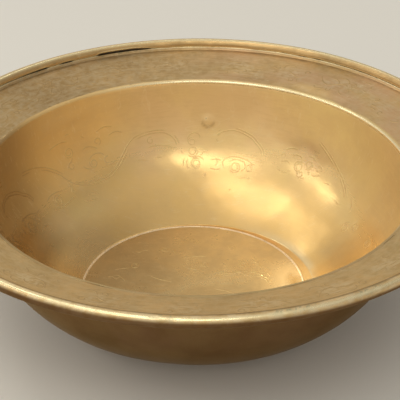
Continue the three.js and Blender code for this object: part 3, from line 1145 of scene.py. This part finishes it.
        patchy = np.clip(0.5 + slow_waves(angle, face / (40 * MM), 0.45, 20, 2.0, seed=83), 0.0, 1.0)
        self.mark_section(piece, "deep", parts, face=0.7 * patchy * near_angle(angle, 42, 0.5))

    def wire(self, s, finish):
        """Round wire carried along a circle through the roll, open at the gap, with flat ends."""
        centre, _, _ = rim_measures(s)
        half_gap = s.wire_gap / 2.0 / centre[0]
        angle = np.linspace(half_gap, TURN - half_gap, PLAIN_ROUND + 1)[:, None]
        turn = np.arange(WIRE_SIDES) * TURN / WIRE_SIDES
        points = turned(centre[0] + s.wire_radius * np.cos(turn),
                        centre[1] + s.wire_radius * np.sin(turn), angle)
        count, around = points.shape[:2]
        quads = ring_quads(count, around).reshape(count, around, 4)[:-1].reshape(-1, 4)
        middles = turned(centre[0], centre[1], angle[[0, -1]]).reshape(2, 3)
        here = np.arange(around)
        ahead = (here + 1) % around
        first = np.stack([ahead, here, np.full(around, count * around)], -1)
        last = np.stack([here + (count - 1) * around, ahead + (count - 1) * around,
                         np.full(around, count * around + 1)], -1)
        points = np.vstack([points.reshape(-1, 3), middles])
        piece = new_mesh("rim_wire_ring", points, quads, np.vstack([first[:, ::-1], last[:, ::-1]]))
        material = iron_metal("wire_iron", finish.iron, finish.rust)
        place_piece(piece, material, "wire_iron", "rim_wire")

    def fillet(self, s, finish):
        """Solder in the corner under the rim: two straight legs and a hollow face, uneven round."""
        _, inner, slope = rim_measures(s)
        angle = angles_round(PLAIN_ROUND)
        swell = np.clip(1.0 + slow_waves(angle, 0.0, 0.13, 30, 0.0, seed=59), 0.7, 1.0 / 0.98)
        leg = s.fillet_leg * 0.97 * swell
        corner = rim_face(s, inner[0], -s.sheet - 0.1 * MM)
        start = inner[0] - 0.2 * MM
        across = np.linspace(0.0, 1.0, 9)[None, :]
        face_r = start + (leg + 0.2 * MM) * across
        face_h = corner - leg * (1 - across) + (leg + 0.2 * MM) * across * math.tan(slope)
        hollow = 0.5 * MM * np.sin(across * TURN / 2)
        face_r = face_r - hollow
        face_h = face_h + hollow
        radius = np.concatenate([face_r, start + 0.0 * angle], 1)
        height = np.concatenate([face_h, corner + 0.0 * angle], 1)
        piece = turned_ring("rim_fillet", radius, height, angle)
        place_piece(piece, solder_metal("rim_solder", finish.solder), "solder", "rim_solder")


# Engraved lines, each in its surface's own two coordinates

def smooth_line(points, per_span=16):
    """Curve through the given points: a Catmull-Rom spline, which leaves each point along the
    line between its neighbours."""
    points = np.asarray(points, float)
    padded = np.vstack([2 * points[0] - points[1], points, 2 * points[-1] - points[-2]])
    t = np.linspace(0.0, 1.0, per_span, endpoint=False)[None, :, None]
    a, b, c, d = (padded[i:len(points) - 1 + i, None, :] for i in range(4))
    spans = 0.5 * (2 * b + (c - a) * t + (2 * a - 5 * b + 4 * c - d) * t**2
                   + (3 * b - a - 3 * c + d) * t**3)
    return np.vstack([spans.reshape(-1, 2), points[-1:]])


def curl(x, y, radius, start, turns, scale=1.0):
    """Spiral about (x, y) whose radius shrinks evenly to a third; start in degrees, x in scale."""
    t = np.linspace(0.0, 1.0, 48)
    reach = radius * (1.0 - 0.67 * t)
    turn = math.radians(start) + t * turns * TURN
    return np.stack([x + scale * reach * np.cos(turn), y + reach * np.sin(turn)], -1)


def double(line, spacing, scale=1.0):
    """Two lines on either side of one, a spacing apart, square to it; x is in scale."""
    slope = np.gradient(line / [scale, 1.0], axis=0)
    slope = slope / np.maximum(np.hypot(*slope.T), 1e-12)[:, None]
    square = np.stack([-slope[:, 1] * scale, slope[:, 0]], -1) * spacing / 2.0
    return [line + square, line - square]


def engraved(name, strokes, surface, sizes, seed, dirt_and_shade, worn_share=0.22):
    """Cut lines: along each stroke a strip with a burr, a groove and a burr, closed underneath.

    A stroke's points are put on the surface, spaced evenly, and the section is laid square to the
    line: two feet in the sheet, two burr tops and the groove between. The lines narrow to nothing
    at their ends and where a slow noise says that they are worn away. The sixth argument gives the
    share of dirt and painted shade at a place, from its two coordinates.
    """
    across = np.array([-0.5, -0.27, 0.0, 0.27, 0.5, 0.0]) * sizes.line_width
    tops = np.array([-1.0, 1.0, -0.35, 1.0, -1.0, -3.0]) * sizes.burr_height
    groove = np.array([0.1, 0.0, 1.0, 0.0, 0.1, 1.0])
    draw = np.random.default_rng(seed)
    points, quads, caps, grooves, dirt_and_shade_values = [], [], [], [], []
    total = 0
    for stroke in strokes:
        place, normal = surface(stroke[:, 0], stroke[:, 1])
        step = np.linalg.norm(np.diff(place, axis=0), axis=1)
        length = np.concatenate([[0.0], np.cumsum(step)])
        count = max(6, int(length[-1] / sizes.step))
        even = np.linspace(0.0, length[-1], count)
        stroke = np.stack([np.interp(even, length, column) for column in stroke.T], -1)
        place, normal = surface(stroke[:, 0], stroke[:, 1])
        along = np.gradient(place, axis=0)
        along = along / np.linalg.norm(along, axis=1)[:, None]
        square = np.cross(normal, along)
        phase = draw.uniform(0.0, TURN, 3)
        wear = 0.5 + 0.5 * np.sin(even[:, None] / np.array([0.019, 0.008, 0.0043]) + phase).mean(1)
        ends = np.minimum(even, length[-1] - even)
        full = eased(wear, worn_share - 0.18, worn_share + 0.12) * eased(ends, 0.0, 2.5 * MM)
        full = np.clip(full, 0.04, 1.0)[:, None]
        lift = tops * full - (1.0 - full) * 1.3 * sizes.burr_height
        body = place[:, None, :] + square[:, None, :] * (across * (0.45 + 0.55 * full))[..., None]
        body = body + normal[:, None, :] * lift[..., None]
        here = ring_quads(count, 6, total).reshape(count, 6, 4)[:-1].reshape(-1, 4)
        points.append(body.reshape(-1, 3))
        quads.append(here)
        first = total + np.array([[0, 1, 2], [0, 2, 3], [0, 3, 4], [0, 4, 5]])
        caps.append(first[:, ::-1])
        caps.append(first + (count - 1) * 6)
        grooves.append(np.tile(groove, count))
        dirt_and_shade_values.append(np.repeat(dirt_and_shade(stroke[:, 0], stroke[:, 1]), 6))
        total += count * 6
    quads, caps = np.vstack(quads), np.vstack(caps)
    piece = new_mesh(name, np.vstack(points), quads[:, ::-1], caps[:, ::-1])
    mark(piece, "groove", np.concatenate(grooves))
    mark(piece, "dirt_and_shade", np.concatenate(dirt_and_shade_values))
    return piece


# Side: angle in degrees and length up the side in millimetres
SIDE_VINE = {
    "double": [
        [(-66, 88), (-60, 85.5), (-54.5, 79.5), (-50.5, 71.5), (-48, 63.5), (-45.5, 58), (-42.5, 55),
         (-39.5, 54), (-36, 53.6), (-32.8, 54.7), (-30.8, 56.9), (-28.8, 59.8), (-26.1, 66.2),
         (-23.6, 73.3), (-21.8, 77.5), (-19.9, 80.2), (-15.4, 82.6), (-10.5, 82), (-7.4, 76.6),
         (-6.1, 69.5)],
    ],
    "single": [
        [(-45.5, 98), (-42.5, 98.5), (-40, 95), (-37.5, 89)],
        [(-52.5, 92), (-48, 94), (-44.5, 93), (-41, 88)],
        [(-43.2, 80.5), (-44.5, 76.5), (-46.3, 73.5), (-46.8, 70)],
        [(-40.5, 80), (-38, 82.5), (-35.5, 81), (-33.5, 77.5)],
        [(-38.5, 72), (-36, 75), (-33.4, 74.5), (-31.8, 71)],
        [(-33.5, 64), (-30.5, 63.5), (-28.6, 66.5)],
        [(-41.5, 70), (-40, 66.5), (-37.5, 63.5)],
        [(-61.5, 58), (-58, 60.5), (-54, 59.5), (-51.3, 56)],
        [(-61, 50), (-57, 47.5), (-52.5, 48.5), (-49, 50.5)],
        [(-47.5, 43.5), (-44.5, 41.5), (-41, 40.5)],
        [(-45, 46.5), (-42, 45.5), (-39.5, 44)],
        [(-18, 70), (-14, 71.5), (-9.5, 70), (-8, 66)],
        [(-22, 62), (-17, 60.5), (-12, 62)],
        [(-30, 86), (-27, 88.5), (-24, 86)],
        [(-34, 92), (-30.5, 94.5), (-27, 93)],
    ],
    "heavy": [[(-50, 60), (-48.5, 57.5), (-49.5, 54.5), (-47.5, 52)]],
    "curl": [(-44.6, 83.6, 4.4, 200, 1.6), (-45, 72.5, 3.4, 20, 1.3), (-36.8, 68.5, 4.0, 120, 1.5),
             (-31.5, 67.5, 3.4, 40, 1.3), (-56.5, 53.5, 5.2, 0, 1.8), (-15.5, 76, 3.2, 30, 1.3),
             (-33.6, 84.5, 3.4, 250, 1.3)],
}
SIDE_CENTRE = {
    "double": [
        [(7, 79.5), (8.2, 82.2), (12.5, 84.2), (17.7, 80.2), (20.3, 75.4), (22.4, 70.6), (23.7, 64)],
    ],
    "single": [
        [(-3.9, 60.4), (-4.9, 56.5), (-4.9, 51.5), (-4.1, 48.2)],
        [(-2.8, 59.4), (-3.7, 56), (-3.6, 52), (-2.6, 48)],
        [(-3.2, 71), (-2.7, 77.2), (-0.9, 80), (0.8, 78.3), (1.2, 74)],
        [(-2.4, 58.9), (0.6, 60.2), (2.3, 57.5), (2.5, 53)],
        [(11, 56), (13.5, 59.3), (16.8, 58), (17.7, 53.5), (16, 48.8)],
        [(4.2, 57), (6.9, 58.5), (9.2, 57)],
        [(4.2, 51), (6.8, 49.6), (9.4, 51)],
        [(6.3, 60.5), (7.3, 56), (6.3, 51.6)],
        [(10.2, 60), (9.2, 55.6), (10.2, 51)],
        [(9, 58.2), (12.4, 61.6), (17.2, 60.6), (20.5, 57.4), (23.7, 57.8)],
        [(15.6, 43), (18.6, 45.2), (21.6, 43.6)],
        [(-5.6, 68), (-5.2, 63.8), (-4.6, 62)],
    ],
    "heavy": [
        [(6.1, 77.4), (7.4, 79.4), (8.2, 82)],
        [(6.3, 77.2), (6.9, 74.6), (7.5, 72)],
        [(1.1, 59.2), (1.9, 62.5), (3.1, 65.9)],
        [(2.2, 41.6), (2.9, 44.6), (3.5, 48)],
        [(12.4, 30.8), (13.4, 32.4), (14.8, 31.6)],
        [(20.7, 14.5), (21.6, 17)],
        [(39.3, 20.8), (40.6, 19.6)],
    ],
    "curl": [(-1.6, 72.8, 3.6, 60, 1.5), (-1.5, 64.6, 4.8, 200, 1.8), (-0.4, 54.1, 5.0, 30, 2.1),
             (14, 52.8, 5.2, 150, 2.0), (19.4, 53.3, 3.6, 20, 1.5)],
}
SIDE_RIGHT = {
    "double": [
        [(41.5, 90), (45.9, 83.4), (48.6, 79), (51.9, 73.7), (56.2, 67), (60.4, 58.5)],
    ],
    "single": [
        [(29, 60.5), (30.5, 57.5), (33, 57), (34.6, 60.4)],
        [(29.6, 64), (32, 66.5), (34, 64.2)],
        [(33.2, 70), (34.6, 73.4), (36.8, 73), (37.4, 69.4), (36.4, 65.8)],
        [(38.6, 75), (41, 75.6), (43, 72.4)],
        [(33.5, 57), (36, 55.4), (38.8, 55.6), (41.4, 58.4)],
        [(42, 62), (44.5, 62.6), (46.2, 66)],
        [(46, 58), (48.6, 60.6), (51.6, 61)],
        [(53, 54), (56, 53), (60, 51.5)],
        [(30, 74), (32.5, 77.5), (35.5, 78)],
        [(62, 62), (64.5, 57), (65.6, 51)],
    ],
    "heavy": [[(40.4, 64.6), (41.4, 62.4), (40.8, 60.2)], [(55.6, 62.4), (57, 59.6)]],
    "curl": [(36.9, 64.6, 4.6, 30, 1.8), (40.4, 68.6, 4.0, 220, 1.7), (38.4, 59.4, 3.4, 100, 1.4),
             (44.6, 69.4, 3.2, 160, 1.3), (30.4, 69.6, 3.2, 180, 1.3), (69, 42, 4.4, 60, 1.6),
             (72.4, 47.5, 3.8, 250, 1.5), (84.5, 49, 4.4, 90, 1.6)],
}

# Which group goes where round the side: its turn in degrees, and -1 where it is mirrored
SIDE_PLACES = [
    (SIDE_VINE, 0, 1), (SIDE_CENTRE, 0, 1), (SIDE_RIGHT, 0, 1),
    (SIDE_VINE, 165, 1), (SIDE_CENTRE, 165, 1), (SIDE_RIGHT, 165, 1), (SIDE_CENTRE, 271, 1),
]

# Rim: a spray of strokes, round the rim and outwards in millimetres from its middle
RIM_SPRAY = {
    "single": [
        [(-17, -5), (-12, 1), (-6, 3), (0, 0), (6, -3), (12, 0), (16, 6)],
        [(-10, 3), (-8, 8), (-3, 10), (1, 7)],
        [(5, -4), (8, -9), (13, -10), (16, -7)],
        [(-3, 1), (0, 5), (5, 6), (8, 4)],
        [(-15, -9), (-10, -8), (-6, -4)],
        [(-19, 3), (-15, 7), (-11, 8)],
    ],
    "curl": [(-14, 5, 3.0, 0, 1.3), (11, 4, 3.2, 180, 1.4), (2, -8, 2.6, 90, 1.2)],
}
RIM_DASHES = {
    "single": [
        [(-9, 6), (-5, 6.6), (0, 6), (5, 6.8)],
        [(-7, 2), (-2, 3), (3, 2.2)],
        [(-8, -3), (-3, -2.2), (4, -3.4), (8, -2.6)],
        [(-4, -7), (1, -6.4), (6, -7.4)],
    ],
    "curl": [(7, 3, 2.2, 40, 1.1), (-8, -7, 2.4, 200, 1.2)],
}
# Angle in degrees, radius in millimetres and which spray; -1 mirrors it
RIM_PLACES = [
    (-58, 172, RIM_SPRAY, 1), (-46, 174, RIM_SPRAY, -1), (-38, 171, RIM_SPRAY, 1),
    (-26, 173, RIM_SPRAY, -1), (-19, 176, RIM_DASHES, 1), (-7, 172, RIM_SPRAY, 1),
    (11, 171, RIM_DASHES, 1), (16, 164, RIM_DASHES, -1), (27, 172, RIM_SPRAY, 1),
    (40, 172, RIM_SPRAY, -1), (47, 180, RIM_DASHES, 1), (56, 171, RIM_DASHES, -1),
    (68, 172, RIM_SPRAY, 1), (82, 172, RIM_SPRAY, -1), (97, 172, RIM_DASHES, 1),
    (111, 172, RIM_SPRAY, 1), (124, 173, RIM_SPRAY, -1), (137, 171, RIM_DASHES, 1),
    (151, 172, RIM_SPRAY, 1), (167, 172, RIM_SPRAY, -1), (183, 173, RIM_DASHES, 1),
    (199, 172, RIM_SPRAY, 1), (216, 172, RIM_SPRAY, -1), (232, 172, RIM_DASHES, 1),
    (247, 172, RIM_SPRAY, 1), (262, 172, RIM_SPRAY, -1), (277, 172, RIM_DASHES, 1),
    (289, 172, RIM_SPRAY, 1),
]

# Floor: half of a medallion, in millimetres from the disc's centre; the other half is turned round
FLOOR_HALF = {
    "double": [[(18, 16), (26, 14), (34, 16), (42, 11), (49, 12.5), (55, 8), (58, 1)]],
    "single": [
        [(35, 11), (42, 17), (49, 15), (55, 12), (60, 6)],
        [(10, 13), (20, 17.5), (28, 15), (36, 18), (44, 17.5), (52, 17), (60, 11)],
        [(-65, 10), (-62, 12.5), (-58, 9), (-55, 11.5), (-50, 5)],
        [(-61, 20), (-54, 22.5), (-47, 23.5)],
        [(-46, 48), (-42, 45), (-38, 48), (-34, 47)],
        [(-26, 52), (-21, 46), (-17, 51), (-13, 42)],
        [(-5, 49), (1, 52), (6, 50)],
        [(-16, 28), (-10, 27), (-4, 23), (5, 20)],
        [(25, 55), (30, 48), (36, 49)],
        [(-33, 13), (-25, 8), (-14, 4)],
        [(-10, 36), (0, 39), (10, 38.5), (17, 36)],
        [(44, 33), (50, 28), (52, 21)],
        [(-40, 34), (-33, 36), (-27, 32)],
    ],
    "curl": [(-58, 11, 3.2, 0, 1.3), (-22, 49, 3.4, 60, 1.4), (30, 51, 3.4, 200, 1.3),
             (8, 28, 4.2, 120, 1.5), (-44, 26, 3.6, 40, 1.4), (38, 27, 4.0, 250, 1.5)],
}


def drawn(group, to_place, spacing, scale=1.0):
    """The strokes of a group, each passed through to_place, which puts it on its surface."""
    strokes = []
    for points in group.get("double", []):
        strokes += double(smooth_line(points), spacing, scale)
    for points in group.get("heavy", []):
        strokes += double(smooth_line(points), 0.4 * spacing, scale)
    strokes += [smooth_line(points) for points in group.get("single", [])]
    strokes += [curl(*values, scale=scale) for values in group.get("curl", [])]
    return [to_place(stroke) for stroke in strokes]


class BASIN_OT_engraving(Operator):
    """Engraved lines of the side, the rim and the floor"""

    bl_idname = "basin.engraving"
    bl_label = "Engraving"

    def execute(self, context):
        s = context.scene.basin_sizes
        sizes = context.scene.basin_engraving
        finish = context.scene.basin_finish
        side = engraved_brass("side_cut_brass", finish.side_bright, finish.side_dull)
        rim = engraved_brass("rim_cut_brass", finish.rim_bright, finish.rim_dull)
        self.side(s, sizes, side)
        self.rim(s, sizes, rim)
        self.floor(s, sizes, side)
        return {"FINISHED"}

    def side(self, s, sizes, material):
        """Band of arches, sweeps and curls half way up the inside of the side."""
        line, corner = side_line(s)
        degree = 1.0 / (s.mouth_radius * 0.93 * math.radians(1.0) / MM)

        def surface(angle, along):
            radius, height, along_r, along_h = line.at(corner + along)
            bend = side_bend(s, angle, along)
            normal_r, normal_h = -along_h, along_r
            place = turned(radius + normal_r * bend, height + normal_h * bend, angle)
            return place, turned(normal_r, normal_h, angle)

        strokes = []
        for group, turn, hand in SIDE_PLACES:
            def to_place(stroke, turn=turn, hand=hand):
                return np.stack([np.radians(turn + hand * stroke[:, 0]), stroke[:, 1] * MM], -1)
            strokes += drawn(group, to_place, sizes.line_spacing / MM, degree)
        # Painted shade, with a little dirt, darkens the side's lines as it darkens the side
        piece = engraved("side_engraving", strokes, surface, sizes, 61,
                         lambda angle, along: 0.06 + painted_side_shade(angle, along))
        place_piece(piece, material, "side_brass")

    def rim(self, s, sizes, material):
        """Worn sprays and dashes round the middle of the rim."""
        _, _, slope = rim_measures(s)

        def surface(angle, radius):
            height = rim_face(s, radius, 0.0) + rim_bend(s, angle, radius)
            place = turned(radius, height, angle)
            return place, turned(-math.sin(slope), math.cos(slope), angle)

        strokes = []
        for angle, radius, group, hand in RIM_PLACES:
            def to_place(stroke, angle=angle, radius=radius, hand=hand):
                turn = math.radians(angle) + hand * stroke[:, 0] / radius
                return np.stack([turn, (radius + stroke[:, 1]) * MM], -1)
            strokes += drawn(group, to_place, sizes.line_spacing / MM)
        # Painted shade darkens the rim's lines as it darkens the rim
        piece = engraved("rim_engraving", strokes, surface, sizes, 67,
                         lambda angle, radius: 0.8 * painted_rim_shade(angle), worn_share=0.35)
        place_piece(piece, material, "rim_brass")

    def floor(self, s, sizes, material):
        """Medallion of wavy lines and curls, its front half the back half turned round."""
        top = 2.0 * s.sheet + s.seam

        def surface(x, y):
            angle, radius = np.arctan2(x, y), np.hypot(x, y)
            height = top + floor_bend(s, angle, radius)
            place = np.stack([x + s.floor_shift, y, height], -1)
            return place, np.stack([0.0 * x, 0.0 * x, 1.0 + 0.0 * x], -1)

        strokes = drawn(FLOOR_HALF, lambda stroke: stroke * MM, sizes.line_spacing / MM)
        strokes += drawn(FLOOR_HALF, lambda stroke: -stroke * MM, sizes.line_spacing / MM)
        # Painted shade darkens the floor's lines towards the left, as on the floor
        piece = engraved("floor_engraving", strokes, surface, sizes, 71,
                         lambda x, y: 0.30 * painted_floor_shade(x + s.floor_shift), worn_share=0.3)
        place_piece(piece, material, "floor_brass")


# Stage

def turned_pair(first, second, angle):
    """Two directions square to each other, turned by an angle from the first to the second."""
    return (first * math.cos(angle) + second * math.sin(angle),
            second * math.cos(angle) - first * math.sin(angle))


def placed_matrix(side, up, away, place):
    """Matrix whose columns are three directions and a place."""
    return Matrix(np.vstack([np.stack([side, up, away, place], -1), [0, 0, 0, 1]]).tolist())


def facing(azimuth, elevation, distance, target, lean=0.0):
    """Matrix of a lamp that looks at a target from a direction, turned about that by lean.

    The three angles are in degrees.
    """
    azimuth, elevation, lean = map(math.radians, (azimuth, elevation, lean))
    level = math.cos(elevation)
    away = np.array([level * math.sin(azimuth), level * math.cos(azimuth), math.sin(elevation)])
    side = np.array([math.cos(azimuth), -math.sin(azimuth), 0.0])
    side, up = turned_pair(side, np.cross(away, side), lean)
    return placed_matrix(side, up, away, np.array(target) + distance * away)


def new_lamp(name, kind, power, tint, matrix):
    """Lamp of a kind with its power and tint, placed by a matrix; returns its data."""
    lamp = bpy.data.lights.new(name, kind)
    lamp.energy = power
    lamp.color = tint
    light = bpy.data.objects.new(name, lamp)
    bpy.context.scene.collection.objects.link(light)
    light.matrix_world = matrix
    return lamp


def soft_light(name, azimuth, elevation, distance, width, height, radiance, lean=0.0):
    """Area lamp that faces the middle of the basin from a direction, turned in its plane by lean.

    Its power is radiance times pi times area, so that it looks as bright as the radiance says.
    """
    matrix = facing(azimuth, elevation, distance, (0.0, 0.0, 0.05), lean)
    power = radiance * math.pi * width * height
    lamp = new_lamp(name, "AREA", power, (1.0, 0.95, 0.82), matrix)
    lamp.shape = "RECTANGLE"
    lamp.size = width
    lamp.size_y = height


class BASIN_OT_stage(Operator):
    """Pale floor, soft studio light and the camera"""

    bl_idname = "basin.stage"
    bl_label = "Floor, lights and camera"

    def execute(self, context):
        settings = context.scene.basin_stage
        self.floor(settings)
        self.light(settings)
        self.camera(context, settings)
        context.scene.view_settings.view_transform = "Standard"
        return {"FINISHED"}

    def floor(self, settings):
        """Square plane a little under the basin's foot."""
        half = 7.0
        corners = [(-half, -half), (half, -half), (half, half), (-half, half)]
        points = [(x, y, -0.0002) for x, y in corners]
        mesh = bpy.data.meshes.new("stage_floor")
        mesh.from_pydata(points, [], [(0, 1, 2, 3)])
        floor = bpy.data.objects.new("stage_floor", mesh)
        bpy.context.scene.collection.objects.link(floor)
        material = bpy.data.materials.new("stage_floor")
        material.use_nodes = True
        shader = material.node_tree.nodes["Principled BSDF"]
        shader.inputs["Base Color"].default_value = with_alpha(settings.floor_colour)
        shader.inputs["Roughness"].default_value = 0.75
        mesh.materials.append(material)

    def light(self, settings):
        """Fill from all round that fades from the left to the right, and six soft lights.

        The fill eases from dim to bright over the dot product with the bright side's direction, and
        is a third brighter at the horizon, from where it eases to plain overhead.
        """
        world = bpy.data.worlds.new("studio")
        world.use_nodes = True
        tree = world.node_tree
        direction = node(tree, "ShaderNodeTexCoord").outputs["Generated"]
        towards = node(tree, "ShaderNodeVectorMath", {0: direction, 1: (-0.75, -0.45, 0.45)},
                       operation="DOT_PRODUCT").outputs["Value"]
        strength = between(tree, towards, -0.5, 1.0, settings.fill_dim, settings.fill_bright)
        height = node(tree, "ShaderNodeSeparateXYZ", {0: direction}).outputs[2]
        strength = times(tree, strength, between(tree, height, 0.0, 0.45, 1.35, 1.0))
        background = tree.nodes["Background"]
        background.inputs["Color"].default_value = (1.0, 0.96, 0.86, 1.0)
        tree.links.new(strength, background.inputs["Strength"])
        bpy.context.scene.world = world
        soft_light("window_light", -91, 37, 1.9, 1.1, 0.13, settings.window)
        soft_light("ceiling_light", -108, 67, 1.9, 1.2, 0.27, settings.ceiling, lean=33)
        soft_light("front_light", -164, 55, 1.8, 1.4, 0.42, settings.front)
        soft_light("back_light", 4, 57, 1.9, 1.6, 0.16, settings.back)
        soft_light("strip_light", -60, 47, 1.8, 0.85, 0.09, settings.strip, lean=39)
        glow_place = facing(-60, 62, 0.8, (0.076, 0.0, 0.003))
        glow = new_lamp("floor_glow", "SPOT", settings.glow, (1.0, 0.86, 0.62), glow_place)
        glow.spot_size = math.radians(5.0)
        glow.spot_blend = 1.0
        glow.shadow_soft_size = 0.01

    def camera(self, context, settings):
        """Camera in front of the basin, looking down, turned a trace to the right and leaning."""
        pitch, yaw, roll = settings.camera_pitch, settings.camera_yaw, settings.camera_roll
        ahead = np.array([0.0, math.cos(pitch), -math.sin(pitch)])
        right = np.array([1.0, 0.0, 0.0])
        ahead, right = turned_pair(ahead, right, yaw)
        right, up = turned_pair(right, np.cross(right, ahead), roll)
        place = np.array([0.0, -settings.camera_distance, settings.camera_height])
        lens = bpy.data.cameras.new("camera")
        lens.lens = settings.lens
        lens.sensor_width = 36.0
        lens.clip_start = 0.01
        camera = bpy.data.objects.new("camera", lens)
        context.scene.collection.objects.link(camera)
        camera.matrix_world = placed_matrix(right, up, -ahead, place)
        context.scene.camera = camera


class BASIN_PT_panel(Panel):
    """Lists the sizes, colours and steps of the basin"""

    bl_label = "Brass basin"
    bl_idname = "BASIN_PT_panel"
    bl_space_type = "VIEW_3D"
    bl_region_type = "UI"
    bl_category = "Basin"

    def draw(self, context):
        scene = context.scene
        for group in (scene.basin_sizes, scene.basin_engraving, scene.basin_finish, scene.basin_stage):
            box = self.layout.box()
            for name in group.__annotations__:
                box.prop(group, name)
        for operator in OPERATORS:
            self.layout.operator(operator.bl_idname)


OPERATORS = (BASIN_OT_side, BASIN_OT_floor, BASIN_OT_rim, BASIN_OT_engraving, BASIN_OT_stage)
GROUPS = {
    "basin_sizes": BasinSizes,
    "basin_engraving": EngravingSizes,
    "basin_finish": FinishSettings,
    "basin_stage": StageSettings,
}


def register():
    for kind in (*GROUPS.values(), *OPERATORS, BASIN_PT_panel):
        bpy.utils.register_class(kind)
    for name, kind in GROUPS.items():
        setattr(bpy.types.Scene, name, PointerProperty(type=kind))


def unregister():
    for name in GROUPS:
        delattr(bpy.types.Scene, name)
    for kind in (BASIN_PT_panel, *OPERATORS, *GROUPS.values()):
        bpy.utils.unregister_class(kind)


def main():
    """Builds the basin and its stage."""
    register()
    bpy.ops.basin.side()
    bpy.ops.basin.floor()
    bpy.ops.basin.rim()
    bpy.ops.basin.engraving()
    bpy.ops.basin.stage()
    bpy.context.view_layer.update()


if __name__ == "__main__":
    main()
